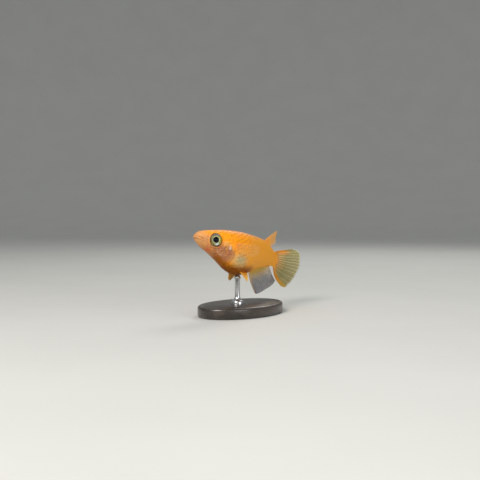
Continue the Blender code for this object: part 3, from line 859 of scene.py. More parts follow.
def make_scale_mesh(body, scales, skin, paint):
    """The coat of scales as one mesh, wrapped onto the skin."""
    share, angle, along, around = scale_roots(scales)
    step = 0.002
    origin = place(section(share, angle), body)
    lie = unit(place(section(share + step, angle), body) - origin)
    ring = place(section(share, angle + step * 3), body) - place(section(share, angle - step * 3), body)
    centre = place(np.stack([share, 0.0 * share, widest_height(share)], -1), body)
    out = unit(np.cross(ring, lie))
    out *= np.sign(np.einsum("ij,ij->i", out, origin - centre))[:, None]
    mesh = new_mesh("scale_roots", origin, [])
    add_attribute(mesh, "lie", lie)
    add_attribute(mesh, "out", out)
    size = np.stack([along * PLATE_LENGTH, around * PLATE_WIDTH, along], -1)
    add_attribute(mesh, "size", size * body.length)
    root_patch = np.stack([share / MAP_LENGTHS, 0.5 + angle / (2 * math.pi) * MAP_TURN, 0 * share], -1)
    add_attribute(mesh, "root_patch", root_patch)
    plate = bpy.data.objects.new("scale_plate", scale_plate())
    bpy.context.scene.collection.objects.link(plate)
    made = scale_tree().apply(mesh, {"Skin": skin, "Plate": plate, "Lift": scales.lift,
                                     "Patch": scales.patch, "Seed": scales.seed, "Material": paint})
    bpy.data.objects.remove(plate)
    return made


def scale_tree():
    """Sets a plate on each root, wraps it onto the skin and gives it its patch of the map."""
    tree = Tree("Coat of scales", (("Skin", "NodeSocketObject"), ("Plate", "NodeSocketObject"),
                                   ("Lift", "NodeSocketFloat"), ("Patch", "NodeSocketFloat"),
                                   ("Seed", "NodeSocketInt"), ("Material", "NodeSocketMaterial")))
    give = tree.inputs
    turn = tree.add("FunctionNodeAxesToRotation", {0: tree.named("out"), 1: tree.named("lie")},
                    primary_axis="Z", secondary_axis="X")[0]
    differ = tree.add("FunctionNodeRandomValue", {"Seed": give["Seed"], 2: 0.92, 3: 1.08},
                      data_type="FLOAT")[1]
    size = tree.vector("SCALE", tree.named("size"), differ)
    plate = tree.add("GeometryNodeObjectInfo", {"Object": give["Plate"]})["Geometry"]
    skin = tree.add("GeometryNodeObjectInfo", {"Object": give["Skin"]})["Geometry"]
    coat = tree.add("GeometryNodeInstanceOnPoints", {"Points": give["Geometry"], "Instance": plate,
                                                     "Rotation": turn, "Scale": size})[0]
    coat = tree.add("GeometryNodeRealizeInstances", {0: coat})[0]
    nearest = tree.add("GeometryNodeProximity", {0: skin}, target_element="FACES")["Position"]
    normal = tree.add("GeometryNodeInputNormal", {})[0]
    facing, marks = [tree.add("GeometryNodeSampleNearestSurface", {"Mesh": skin, "Value": value},
                              data_type="FLOAT_VECTOR")[0]
                     for value in (normal, tree.named("fish_place"))]
    coat = tree.add("GeometryNodeStoreNamedAttribute",
                    {"Geometry": coat, "Name": "fish_place", "Value": marks},
                    data_type="FLOAT_VECTOR", domain="POINT")[0]
    height = tree.add("ShaderNodeMath", {0: tree.named("lift", "FLOAT"), 1: give["Lift"]},
                      operation="MULTIPLY")[0]
    spot = tree.vector("ADD", nearest, tree.vector("SCALE", facing, height))
    coat = tree.add("GeometryNodeSetPosition", {"Geometry": coat, "Position": spot})[0]
    local = tree.vector("SCALE", tree.named("plate_place"), give["Patch"])
    patch = tree.vector("ADD", tree.named("root_patch"), local)
    coat = tree.add("GeometryNodeStoreNamedAttribute",
                    {"Geometry": coat, "Name": "OFBake", "Value": patch},
                    data_type="FLOAT2", domain="CORNER")[0]
    tree.finish(coat, give["Material"])
    return tree


class MEDAKA_OT_skin(bpy.types.Operator):
    """Make the skin of head, trunk and tail stalk as one surface"""
    bl_idname = "medaka.skin"
    bl_label = "Skin"

    def execute(self, context):
        scene = context.scene
        new_piece("fish_skin", make_skin_mesh(scene.medaka_body), skin_material(scene.medaka_colours),
                  ("head", "trunk", "tail_stalk"))
        return {"FINISHED"}


class MEDAKA_OT_scales(bpy.types.Operator):
    """Lay the coat of scales over the skin"""
    bl_idname = "medaka.scales"
    bl_label = "Scales"

    def execute(self, context):
        scene = context.scene
        skin = bpy.data.objects["fish_skin"]
        paint = scale_material(scene.medaka_colours)
        mesh = make_scale_mesh(scene.medaka_body, scene.medaka_scales, skin, paint)
        new_piece("scale_coat", mesh, paint)
        return {"FINISHED"}


# Form of the eyeball's outline: 2 is an ellipse, and more is flatter in front
GLOBE_FORM = 3.0
# Points of an eyeball's outline, and of the cornea's, which covers its front
GLOBE_POINTS = 26
CORNEA_POINTS = 14
# Below the iris's inner edge, in metres: the flat under the pupil, and the pupil's rim, edge and back
IRIS_SINK = 0.00002
PUPIL_SINK = 0.00004
PUPIL_EDGE = 0.00010
PUPIL_BACK = 0.00012
# How far the pupil's middle stands out over its rim, in metres
PUPIL_CROWN = 0.00012
# How far the cornea stands out over the eyeball, and how thick it is, in metres
CORNEA_RISE = 0.00010
CORNEA_WALL = 0.00003
# The most that an eye's middle may lie off its solid's, in metres
EYE_SLACK = 0.0002


def eye_axes(body, side):
    """Centre of an eye, and its forward, outward and upward directions."""
    spot = np.array([EYE_SHARE, side * EYE_SIDE, EYE_UP])
    centre = place(spot, body)
    ahead = unit(place(spot - (0.01, 0.0, 0.0), body) - centre)
    rise = unit(place(spot + (0.0, 0.0, 0.01), body) - centre)
    out = np.cross(ahead, rise) * (-side)
    if out[1] * side < 0.0:
        out = -out
    turn = body.eye_turn
    forward = ahead * math.cos(turn) - out * math.sin(turn)
    out = out * math.cos(turn) + ahead * math.sin(turn)
    return centre, forward, out, rise


def dome(name, body, side, profile, steps=64):
    """A closed turned form on the eye's axis; the profile gives radius and depth, in metres."""
    centre, forward, out, rise = eye_axes(body, side)
    turn = np.linspace(0.0, 2.0 * math.pi, steps, endpoint=False)[:, None]
    circle = np.cos(turn) * forward + np.sin(turn) * rise
    rings = [centre + radius * circle + depth * out for radius, depth in profile[1:-1]]
    tips = [[centre + profile[end][1] * out] for end in (0, -1)]
    points = np.concatenate(rings + tips)
    mesh = new_mesh(name, points, capped_faces(len(rings), steps))
    outward(mesh)
    local = points - centre
    eye_place = np.stack([local @ forward, local @ rise, local @ out], -1) / body.eye_radius
    add_attribute(mesh, "eye_place", eye_place)
    return mesh


def globe_profile(radius, depth, form=2.0):
    """Radius and depth of an eyeball's outline, flatter in front the larger its form is."""
    power = 2.0 / form
    return [(radius * math.sin(t) ** power, depth * math.copysign(abs(math.cos(t)) ** power, math.cos(t)))
            for t in np.linspace(0.0, math.pi, GLOBE_POINTS)]


def eye_profiles(body):
    """Profiles of the eyeball, cut flat under the pupil, the raised pupil and the cornea's shell."""
    radius, depth, pupil = body.eye_radius, body.eye_depth, body.pupil_radius
    rim = depth * IRIS_DEPTH * (1.0 - (pupil / radius) ** GLOBE_FORM) ** (1.0 / GLOBE_FORM)
    globe = [(r, min(d * IRIS_DEPTH, rim - IRIS_SINK)) for r, d in globe_profile(radius, depth, GLOBE_FORM)]
    lens = [(pupil * math.sin(t), rim - PUPIL_SINK + PUPIL_CROWN * math.cos(t))
            for t in np.linspace(0.0, math.pi / 2, 9)]
    lens += [(pupil, rim - PUPIL_EDGE), (0.0, rim - PUPIL_BACK)]
    outer = globe_profile(radius * 1.01, depth + CORNEA_RISE)[:CORNEA_POINTS]
    inner = [(r * 0.985, d - CORNEA_WALL) for r, d in reversed(outer)]
    return {"eyeball": globe, "pupil": lens, "cornea": outer + inner}


def iris_material():
    """Yellow-green iris: bluish on top, brown painted shade in front, a pale ring inside, a painted
    reflection low down, a dark rim outside.
    """
    paint = Paint("iris")
    spot = paint.attribute("eye_place")
    across, up = paint.split(spot)[:2]
    radius = paint.far(across, up, 0.0, 0.0)
    grain = paint.noise(spot, 6.0, 5.0, 0.65)
    colour = paint.mix(paint.span(grain, 0.35, 0.65), (0.20, 0.18, 0.035), (0.44, 0.39, 0.08))
    from_below = paint.plus(paint.far(across, up, 0.0, -0.34), paint.times(grain, 0.10))
    colour = paint.mix(paint.span(from_below, 1.00, 1.18), colour, (0.17, 0.16, 0.22))
    # Painted shade: the iris darkens to brown towards the front
    colour = paint.tint(colour, (0.10, 0.075, 0.030), paint.span(across, 0.10, 0.70), 0.72)
    colour = paint.tint(colour, (0.62, 0.50, 0.04), paint.span(across, -0.30, -0.72), 0.55)
    colour = paint.mix(paint.span(radius, 0.60, 0.50), colour, (0.60, 0.58, 0.34))
    # Painted reflection: a pale blue-white crescent low on the iris
    bow = paint.math("ABSOLUTE", paint.less(radius, 0.70))
    low = paint.spot(spot, (-0.24, -0.64, 0.4), (0.46, 0.34, 2.0), 0.8)
    colour = paint.tint(colour, (0.74, 0.86, 0.97), paint.span(bow, 0.15, 0.06), low)
    colour = paint.mix(paint.span(radius, 0.84, 0.94), colour, (0.055, 0.045, 0.050))
    streaks = paint.waves(spot, 5.0, 6.0, wave_type="RINGS", rings_direction="Z")
    paint.set(Base_Color=colour, Metallic=0.30, Roughness=0.40, Coat_Weight=0.1, Coat_Roughness=0.10,
              Normal=paint.relief(streaks, 0.15, 0.00003))
    return paint.material


def pupil_material():
    """Deep black, faintly clouded."""
    paint = Paint("pupil")
    cloud = paint.noise(paint.attribute("eye_place"), 3.0, 2.0)
    colour = paint.mix(paint.span(cloud, 0.3, 0.7), (0.002, 0.002, 0.004), (0.006, 0.006, 0.012))
    paint.set(Base_Color=colour, Roughness=0.5, Specular_IOR_Level=0.1)
    return paint.material


def cornea_material():
    """Clear and wet, with a faint haze."""
    paint = Paint("cornea")
    cloud = paint.noise(paint.attribute("eye_place"), 4.0, 2.0)
    paint.set(Base_Color=(0.01, 0.012, 0.014), Roughness=0.10, Specular_IOR_Level=0.15,
              Alpha=paint.span(cloud, 0.3, 0.8, 0.06, 0.09))
    return paint.material


class MEDAKA_OT_eyes(bpy.types.Operator):
    """Make both eyes: eyeball with iris, raised pupil and clear cornea"""
    bl_idname = "medaka.eyes"
    bl_label = "Eyes"

    def execute(self, context):
        body = context.scene.medaka_body
        paints = {"eyeball": iris_material(), "pupil": pupil_material(), "cornea": cornea_material()}
        for name, side in SIDES:
            node = "eye_" + name
            low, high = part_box(node)
            if (Vector(eye_axes(body, side)[0]) - (low + high) / 2.0).length > EYE_SLACK:
                raise RuntimeError("the eye isn't where the frame has it")
            for part, profile in eye_profiles(body).items():
                mesh = dome(part + "_" + name, body, side, profile)
                new_piece(part + "_" + name, mesh, paints[part], (node,) if part == "eyeball" else ())
        return {"FINISHED"}


# Membrane: columns to a ray, rows from root to margin, how thin it gets, and its ribs in metres
WEB_COLUMNS = 8
WEB_ROWS = 34
WEB_THINNING = 0.72
WEB_RIB = 0.000008
# Rays: steps from root to margin, where they end and how thin they get
RAY_STEPS = 30
RAY_END = 0.975
RAY_THINNING = 0.62
# Radius of a branch against its ray's, and of a fin's first and last rays against the others'
BRANCH_RADIUS = 0.82
EDGE_RADIUS = 1.25
# How deep the roots of the fins lie under the body's outline
SINK = 0.006
# Share of the tail fin's root
TAIL_ROOT = 0.995


def fin_sheet(name, body, surface, rays, web):
    """A thin closed membrane over a fin's surface, gently ribbed between its rays."""
    columns = rays * WEB_COLUMNS + 1
    out, across = np.meshgrid(np.linspace(0.0, 1.0, WEB_ROWS), np.linspace(0.0, 1.0, columns), indexing="ij")
    phase = across * rays * math.pi
    ragged = 0.99 + 0.01 * np.abs(np.cos(phase)) ** 0.5
    middle = place(surface(across, out * ragged), body)
    normal = unit(np.cross(np.gradient(middle, axis=0), np.gradient(middle, axis=1)))
    rib = WEB_RIB * np.sin(phase) ** 2 * np.sign(np.sin(phase * 2))
    middle = middle + normal * (rib * out)[..., None]
    half = (web * (1.0 - WEB_THINNING * out) / 2.0)[..., None]
    points = [(middle + normal * half * way).reshape(-1, 3) for way in (1.0, -1.0)]
    mesh = new_mesh(name, np.concatenate(points), sheet_faces(WEB_ROWS, columns))
    outward(mesh)
    spots = np.stack([across, out, 0.0 * out], -1).reshape(-1, 3)
    add_attribute(mesh, "fin_place", np.concatenate([spots, spots]))
    return mesh


def ray_lines(body, surface, rays, splits, radius):
    """Centre lines of the rays, which branch at each split, with their radii."""
    points, radii, spots, edges = [], [], [], []

    def line(across_at, start, end, thick):
        """Adds one line from start to end, at the place across that it has there."""
        out = np.linspace(start, end, max(int(RAY_STEPS * (end - start)), 3))
        across = across_at(out)
        first = len(points)
        points.extend(place(surface(across, out), body))
        radii.extend(thick * (1.0 - RAY_THINNING * out**0.8))
        spots.extend(np.stack([across, out, 0.0 * out], -1))
        edges.extend((first + i, first + i + 1) for i in range(len(out) - 1))

    def branch(centre, spread, start, splits_left, thick):
        """Adds a line up to the next split and two branches from there."""
        end = splits_left[0] if splits_left else RAY_END
        line(centre, start, end, thick)
        if not splits_left:
            return
        for sign in (-1, 1):
            def aside(out, sign=sign):
                return centre(out) + sign * spread * smooth((out - end) / (1.0 - end)) ** 0.6
            branch(aside, spread * 0.5, end, splits_left[1:], thick * BRANCH_RADIUS)

    for ray in range(rays):
        across = (ray + 0.5) / rays
        edge_ray = ray in (0, rays - 1)
        branch(lambda out, across=across: across + 0.0 * out, 0.21 / rays, 0.0, () if edge_ray else splits,
               radius * (EDGE_RADIUS if edge_ray else 1.0))
    return np.array(points), np.array(radii), np.array(spots), edges


def ray_tree():
    """Turns centre lines into round tapered rays."""
    tree = Tree("Fin rays", (("Sides", "NodeSocketInt"), ("Material", "NodeSocketMaterial")))
    give = tree.inputs
    lines = tree.add("GeometryNodeMeshToCurve", {0: give["Geometry"]})[0]
    ring = tree.add("GeometryNodeCurvePrimitiveCircle", {"Resolution": give["Sides"], "Radius": 1.0})[0]
    rods = tree.add("GeometryNodeCurveToMesh", {"Curve": lines, "Profile Curve": ring,
                                                "Scale": tree.named("thick", "FLOAT"), "Fill Caps": True})[0]
    tree.finish(rods, give["Material"])
    return tree


def between(start, end, t):
    """Places on the straight way from start to end."""
    return start + (end - start) * t[..., None]


def upright(base_share, base_up, margin_share, margin_up, bow, bulge=0.0, rise=0.0):
    """A fin in the middle plane that bows aside; its front edge bulges forwards and rises."""

    def surface(across, out):
        start = np.stack([base_share(across), 0.0 * across, base_up(across)], -1)
        side = bow * np.sin(across * math.pi) * out
        end = np.stack([margin_share(across), side, margin_up(across)], -1)
        spots = between(start, end, out)
        at_front = np.sin(out * math.pi) * (1.0 - across) ** 2
        spots[..., 0] -= bulge * at_front
        spots[..., 2] += rise * at_front
        return spots

    return surface


def dorsal_surface():
    """The small dorsal fin, far back and laid towards the tail."""
    share = curve(((0.0, 1.035), (0.3, 1.026), (0.65, 1.016), (1.0, 1.012)))
    height = curve(((0.0, 0.226), (0.12, 0.222), (0.5, 0.172), (1.0, 0.122)))

    def base(across):
        return 0.765 + 0.120 * across

    return upright(base, lambda across: back_height(base(across)) - SINK, share, height, 0.006, 0.0, 0.013)


def anal_surface():
    """The long anal fin along the belly's rear."""
    share = curve(((0.0, 0.690), (0.06, 0.706), (0.4, 0.860), (0.8, 1.022), (1.0, 1.056)))
    height = curve(((0.0, -0.296), (0.06, -0.302), (0.4, -0.252), (0.8, -0.200), (1.0, -0.176)))

    def base(across):
        return 0.572 + 0.313 * across

    return upright(base, lambda across: belly_height(base(across)) + SINK, share, height, -0.010, 0.018)


def tail_surface():
    """The tail fin, from its lower edge at 0 to its upper edge at 1."""
    share = curve(((0.0, 1.122), (0.06, 1.157), (0.15, 1.206), (0.3, 1.260), (0.55, 1.290), (0.8, 1.286),
                   (0.92, 1.257), (1.0, 1.208)))
    height = curve(((0.0, -0.214), (0.06, -0.222), (0.15, -0.186), (0.3, -0.106), (0.55, -0.018),
                    (0.8, 0.060), (0.92, 0.088), (1.0, 0.099)))
    low, high = float(belly_height(TAIL_ROOT)) + 0.002, float(back_height(TAIL_ROOT)) - 0.002

    def base(across):
        return TAIL_ROOT + 0.0 * across

    return upright(base, lambda across: low + (high - low) * across, share, height, 0.004, 0.020)


def pectoral_surface(side):
    """A pectoral fin behind the gill cover, held back along the flank."""
    share = curve(((0.0, 0.455), (0.25, 0.485), (0.55, 0.470), (1.0, 0.400)))
    height = curve(((0.0, 0.052), (0.3, 0.020), (0.6, -0.022), (1.0, -0.052)))
    out_side = curve(((0.0, 0.128), (0.5, 0.146), (1.0, 0.138)))

    def surface(across, out):
        root = section(0.290 + 0.0 * across, np.radians(74.0 + 20.0 * across))
        root[..., 1] = np.abs(root[..., 1]) - 0.002
        end = np.stack([share(across), out_side(across), height(across)], -1)
        spots = between(root, end, out)
        spots[..., 1] = side * (spots[..., 1] + 0.010 * np.sin(out * math.pi))
        return spots

    return surface


def pelvic_surface(side):
    """A pelvic fin, which hangs from the belly."""
    share = curve(((0.0, 0.430), (0.5, 0.448), (1.0, 0.466)))
    height = curve(((0.0, -0.214), (0.5, -0.223), (1.0, -0.206)))
    out_side = curve(((0.0, 0.084), (0.5, 0.079), (1.0, 0.073)))

    def surface(across, out):
        where = 0.388 + 0.112 * across
        aside = 0.052 - 0.017 * across
        root = np.stack([where, aside, belly_up(where, aside) + SINK * 0.7], -1)
        end = np.stack([share(across), out_side(across), height(across)], -1)
        spots = between(root, end, out)
        spots[..., 1] *= side
        return spots

    return surface


def fin_surfaces():
    """Name, kind and surface of each of the seven fins."""
    made = [("dorsal_fin", "dorsal_fin", dorsal_surface()), ("anal_fin", "anal_fin", anal_surface()),
            ("tail_fin", "tail_fin", tail_surface())]
    for name, side in SIDES:
        made.append(("pectoral_fin_" + name, "pectoral_fin", pectoral_surface(side)))
        made.append(("pelvic_fin_" + name, "pelvic_fin", pelvic_surface(side)))
    return made


# Rays, where they split, colours of root, membrane and rays, how solid the membrane is at its
# margin and how much more at its root, and the material slot
FIN_KINDS = {
    "dorsal_fin": {"rays": 6, "splits": (0.45, 0.75), "slot": "orange_fin", "solid": 0.94, "more": 0.35,
                   "root": (0.98, 0.36, 0.020), "web": (0.84, 0.38, 0.06), "ray": (0.86, 0.56, 0.26)},
    "anal_fin": {"rays": 18, "splits": (0.62,), "slot": "clear_fin", "solid": 0.56, "more": 0.35,
                 "root": (0.54, 0.32, 0.020), "web": (0.130, 0.125, 0.140), "ray": (0.52, 0.51, 0.52)},
    "tail_fin": {"rays": 12, "splits": (0.52,), "slot": "clear_fin", "solid": 0.84, "more": 0.35,
                 "root": (0.70, 0.28, 0.02), "web": (0.235, 0.205, 0.065), "ray": (0.95, 0.90, 0.60)},
    "pectoral_fin": {"rays": 9, "splits": (0.55,), "slot": "clear_fin", "solid": 0.040, "more": 0.06,
                     "root": (0.86, 0.42, 0.10), "web": (0.80, 0.50, 0.24), "ray": (0.86, 0.56, 0.26)},
    "pelvic_fin": {"rays": 6, "splits": (0.6,), "slot": "orange_fin", "solid": 0.94, "more": 0.35,
                   "root": (0.86, 0.30, 0.010), "web": (0.90, 0.44, 0.045), "ray": (0.86, 0.56, 0.26)},
}


def fin_places(paint):
    """Place on a fin, how far it is across from the first ray and out from the root, and blotches."""
    spot = paint.attribute("fin_place")
    across, out = paint.split(spot)[:2]
    return spot, across, out, paint.noise(spot, 7.0)


def fin_colour(paint, kind, places, for_ray):
    """Colour over a fin, from its root to its margin and from its first ray to its last."""
    spot, across, out, blotch = places
    looks = FIN_KINDS[kind]
    ease = paint.plus(out, paint.times(paint.less(blotch, 0.5), 0.35))
    colour = paint.mix(paint.span(ease, 0.10, 0.62), looks["root"], looks["web"])
    if kind == "tail_fin":
        # A pale hem, and orange along the upper and the lower edge
        upper = paint.times(paint.span(across, 0.74, 0.90), paint.span(out, 0.80, 0.45))
        edges = paint.most(upper, paint.span(across, 0.12, 0.06))
        orange = paint.mix(paint.span(out, 0.55, 0.95), (0.66, 0.225, 0.0), (0.44, 0.27, 0.02))
        colour = paint.mix(paint.span(out, 0.95, 0.99), colour, (0.55, 0.56, 0.45))
        colour = paint.mix(edges, colour, orange)
    if kind == "anal_fin":
        colour = paint.mix(paint.span(across, 0.09, 0.01), colour, (0.62, 0.36, 0.16))
    if kind == "dorsal_fin":
        colour = paint.mix(paint.span(across, 0.70, 0.98), colour, (0.66, 0.46, 0.30))
    if for_ray:
        # Paler rays away from the fin's edges, with darker joints
        shown = paint.times(paint.span(out, 0.12, 0.34), 0.85)
        inner = paint.times(paint.span(across, 0.06, 0.16), paint.span(across, 0.96, 0.86))
        colour = paint.tint(colour, looks["ray"], shown, inner)
        joints = paint.span(paint.waves(spot, 9.0, bands_direction="Y"), 0.80, 0.98)
        colour = paint.tint(colour, (0.30, 0.18, 0.08), joints, 0.35)
    if for_ray and kind == "anal_fin":
        # Silvery hatching where the rear rays leave the body
        hatch = paint.times(paint.span(across, 0.50, 0.75), paint.span(out, 0.70, 0.45))
        colour = paint.tint(colour, (0.90, 0.89, 0.93), hatch, paint.span(out, 0.06, 0.16))
    if kind == "tail_fin":
        # The fleshy root reaches out the farthest in the middle
        bow = paint.times(across, paint.less(1.0, across))
        beyond = paint.less(out, paint.times(bow, 0.85))
        colour = paint.mix(paint.span(beyond, 0.06, 0.0), colour, (0.98, 0.36, 0.02))
    return colour


def web_material(kind):
    """Thin membrane of a fin, more solid at its root."""
    paint = Paint(kind + "_web")
    looks = FIN_KINDS[kind]
    spot, across, out, blotch = places = fin_places(paint)
    veil = paint.times(paint.span(blotch, 0.3, 0.7, 0.92, 1.05), looks["solid"])
    root = paint.span(out, 0.30, 0.0, 0.0, looks["more"])
    if kind == "tail_fin":
        edges = paint.most(paint.span(across, 0.82, 0.94), paint.span(across, 0.17, 0.08))
        root = paint.most(root, paint.times(edges, 0.40))
    fine = paint.noise(spot, 60.0, 3.0, 0.6, (1.0, 0.3, 1.0))
    paint.set(Base_Color=fin_colour(paint, kind, places, False), Roughness=0.40,
              Alpha=paint.math("ADD", veil, root, clamp=True), Normal=paint.relief(fine, 0.10, 0.00003),
              Specular_IOR_Level=0.25, Coat_Weight=0.10, Coat_Roughness=0.20,
              Subsurface_Weight=0.12, Subsurface_Scale=0.0003)
    return paint.material


def ray_material(kind):
    """Rays of a fin; those of the pectoral fins are clear."""
    paint = Paint(kind + "_ray")
    places = fin_places(paint)
    if kind == "pectoral_fin":
        paint.set(Alpha=paint.span(places[2], 0.0, 0.4, 0.26, 0.12))
    paint.set(Base_Color=fin_colour(paint, kind, places, True), Roughness=0.40,
              Specular_IOR_Level=0.3, Coat_Weight=0.1, Coat_Roughness=0.2,
              Subsurface_Weight=0.2, Subsurface_Scale=0.0003)
    return paint.material


class MEDAKA_OT_fins(bpy.types.Operator):
    """Make the membranes and the branching rays of all seven fins"""
    bl_idname = "medaka.fins"
    bl_label = "Fins"

    def execute(self, context):
        body, fins = context.scene.medaka_body, context.scene.medaka_fins
        webs = {kind: web_material(kind) for kind in FIN_KINDS}
        rods = {kind: ray_material(kind) for kind in FIN_KINDS}
        tree = ray_tree()
        for name, kind, surface in fin_surfaces():
            looks = FIN_KINDS[kind]
            mesh = fin_sheet(name + "_web", body, surface, looks["rays"], fins.web)
            new_piece(name + "_web", mesh, webs[kind], (name,))
            points, radii, spots, edges = ray_lines(body, surface, looks["rays"], looks["splits"], fins.ray)
            lines = new_mesh(name + "_lines", points, [], edges)
            add_attribute(lines, "thick", radii, "FLOAT")
            add_attribute(lines, "fin_place", spots)
            made = tree.apply(lines, {"Sides": fins.sides, "Material": rods[kind]})
            new_piece(name + "_rays", made, rods[kind])
        return {"FINISHED"}


# In metres: rounding of the base's upper edge, bevel of its lower edge, and its turned groove
BASE_ROUNDING = 0.0006
BASE_BEVEL = 0.0003
GROOVE_DEPTH = 0.00012
# How far the rod goes on into the base and into the belly
ROD_SINK = 0.0004
# Collar at the foot of the rod: how far out from the collar's edge and up from the foot
COLLAR_FORM = ((0.0, 0.0), (0.0, 0.0006), (-0.0001, 0.0008), (-0.0003, 0.0009))
# Neck of the collar and ring at the rod's end: how far out from the rod and up from either end
NECK_FORM = ((0.0004, 0.0010), (0.0001, 0.0013), (0.0, 0.0018))
RING_FORM = ((0.0, -0.0010), (0.00015, -0.0008), (0.00015, -0.0006))


def turned(name, profile, centre, half_length, half_width, steps):
    """A closed turned form; the profile gives distance inside the outline and height."""
    turn = np.linspace(0.0, 2.0 * math.pi, steps, endpoint=False)
    rings = [np.stack([(half_length - inset) * np.cos(turn), (half_width - inset) * np.sin(turn),
                       height + 0.0 * turn], -1) for inset, height in profile]
    tips = [[(0.0, 0.0, profile[end][1])] for end in (0, -1)]
    points = np.concatenate(rings + tips) + (centre[0], centre[1], 0.0)
    mesh = new_mesh(name, points, capped_faces(len(rings), steps))
    outward(mesh)
    mesh.set_sharp_from_angle(angle=math.radians(50.0))
    return mesh


def base_profile(top):
    """Outline of the base, from the table up over the rounded edge to the groove."""
    profile = [(BASE_BEVEL, 0.0), (0.0, BASE_BEVEL), (0.0, top - BASE_ROUNDING)]
    profile += [(BASE_ROUNDING * (1.0 - math.cos(t)), top - BASE_ROUNDING * (1.0 - math.sin(t)))
                for t in np.linspace(0.0, math.pi / 2, 9)[1:]]
    groove = ((0.0004, 0.0), (0.0006, GROOVE_DEPTH), (0.0008, GROOVE_DEPTH), (0.0010, 0.0))
    return profile + [(BASE_ROUNDING + inset, top - depth) for inset, depth in groove]


def rod_profile(rod, collar, foot, end):
    """Outline of the rod, from its collar up to the ring at its rounded end."""
    form = [(collar + out, foot + up) for out, up in COLLAR_FORM]
    form += [(rod + out, foot + up) for out, up in NECK_FORM]
    form += [(rod + out, end + up) for out, up in RING_FORM]
    form += [(rod * 0.95, end - 0.0003), (rod * 0.8, end)]
    return [(collar - radius, height) for radius, height in form]


def wood_material(stand):
    """Black stained wood with its grain and pores along the base."""
    paint = Paint("stained_wood")
    spot = paint.object_place()
    grain = paint.noise(spot, 260.0, 6.0, 0.62, (0.25, 1.6, 1.6))
    pores = paint.noise(spot, 1400.0, 3.0, 0.5, (0.12, 1.0, 1.0))
    light = tuple(min(value * 2.6, 1.0) for value in stand.wood)
    colour = paint.mix(paint.span(grain, 0.36, 0.68), stand.wood, light)
    colour = paint.tint(colour, (0.008, 0.006, 0.005), paint.span(pores, 0.52, 0.66), 0.5)
    height = paint.plus(paint.times(grain, 0.5), pores)
    paint.set(Base_Color=colour, Roughness=paint.span(grain, 0.3, 0.7, 0.30, 0.42), Coat_Weight=0.3,
              Coat_Roughness=0.12, Normal=paint.relief(height, 0.12, 0.00005))
    return paint.material


def steel_material(stand):
    """Steel with fine brush marks round the rod."""
    paint = Paint("brushed_rod")
    brush = paint.noise(paint.object_place(), 900.0, 4.0, 0.6, (1.0, 1.0, 9.0))
    dull = tuple(value * 0.86 for value in stand.steel)
    colour = paint.mix(paint.span(brush, 0.3, 0.7), dull, stand.steel)
    paint.set(Base_Color=colour, Metallic=1.0, Roughness=paint.span(brush, 0.3, 0.7, 0.22, 0.34),
              Normal=paint.relief(brush, 0.06, 0.00002))
    return paint.material


class MEDAKA_OT_stand(bpy.types.Operator):
    """Make the display stand: a rounded base and a turned steel rod"""
    bl_idname = "medaka.stand"
    bl_label = "Stand"

    def execute(self, context):
        stand = context.scene.medaka_stand
        low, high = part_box("stand_base")
        mesh = turned("display_base", base_profile(high.z), (0.0, 0.0), (high.x - low.x) / 2.0,
                      (high.y - low.y) / 2.0, 144)
        new_piece("display_base", mesh, wood_material(stand), ("stand_base",))
        low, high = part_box("stand_rod")
        centre = ((low.x + high.x) / 2.0, (low.y + high.y) / 2.0)
        collar = (high.x - low.x) / 2.0
        profile = rod_profile(stand.rod, collar, low.z - ROD_SINK, high.z + ROD_SINK)
        mesh = turned("display_rod", profile, centre, collar, collar, 64)
        new_piece("display_rod", mesh, steel_material(stand), ("stand_rod",))
        return {"FINISHED"}


PICTURE_SIZE = 480.0
SENSOR = 36.0
SKY_COLOUR = (0.80, 0.83, 0.86, 1.0)
SKY_STRENGTH = 0.46
# Metres from the body's middle back to the camera's side, to its right and up, then the lamp's
# size, watts and colour
LIGHTS = {
    "key": ((0.26, -0.14, 0.20), 0.18, 1.35, (1.0, 0.97, 0.93)),
    "fill": ((0.22, 0.24, 0.06), 0.20, 0.38, (0.95, 0.97, 1.0)),
    "rim": ((-0.24, 0.10, 0.24), 0.14, 0.30, (1.0, 0.98, 0.95)),
}
# Sides of the backdrop, where its floor starts to rise, and how far it rises, in metres
BACKDROP_SIDES = 96
FLOOR_REACH = 0.6
BACKDROP_RISE = 0.5


def area_light(name, spot, aim, size, power, colour):
    """A soft round light that shines from a spot at an aim."""
    lamp = bpy.data.lights.new(name, "AREA")
    lamp.shape = "DISK"
    lamp.size = size
    lamp.energy = power
    lamp.color = colour
    light = bpy.data.objects.new(name, lamp)
    light.location = spot
    light.rotation_euler = (aim - spot).to_track_quat("-Z", "Y").to_euler()
    bpy.context.scene.collection.objects.link(light)


def backdrop_mesh():
    """A floor that curves up into a far backdrop on all sides."""
    turn = np.linspace(0.0, 2.0 * math.pi, BACKDROP_SIDES, endpoint=False)
    bend = np.linspace(0.0, math.pi / 2, 12)[1:]
    profile = [(FLOOR_REACH * t, 0.0) for t in np.linspace(0.02, 1.0, 10)]
    profile += [(FLOOR_REACH + BACKDROP_RISE * math.sin(b), BACKDROP_RISE * (1.0 - math.cos(b)))
                for b in bend]
    rings = [np.stack([radius * np.cos(turn), radius * np.sin(turn), height + 0.0 * turn], -1)
             for radius, height in profile]
    points = np.concatenate(rings + [[(0.0, 0.0, 0.0)]])
    faces = [tuple(face) for face in grid_faces(len(rings), BACKDROP_SIDES, closed=True)]
    faces += [((i + 1) % BACKDROP_SIDES, i, len(rings) * BACKDROP_SIDES) for i in range(BACKDROP_SIDES)]
    return new_mesh("floor", points, faces, flip=True)


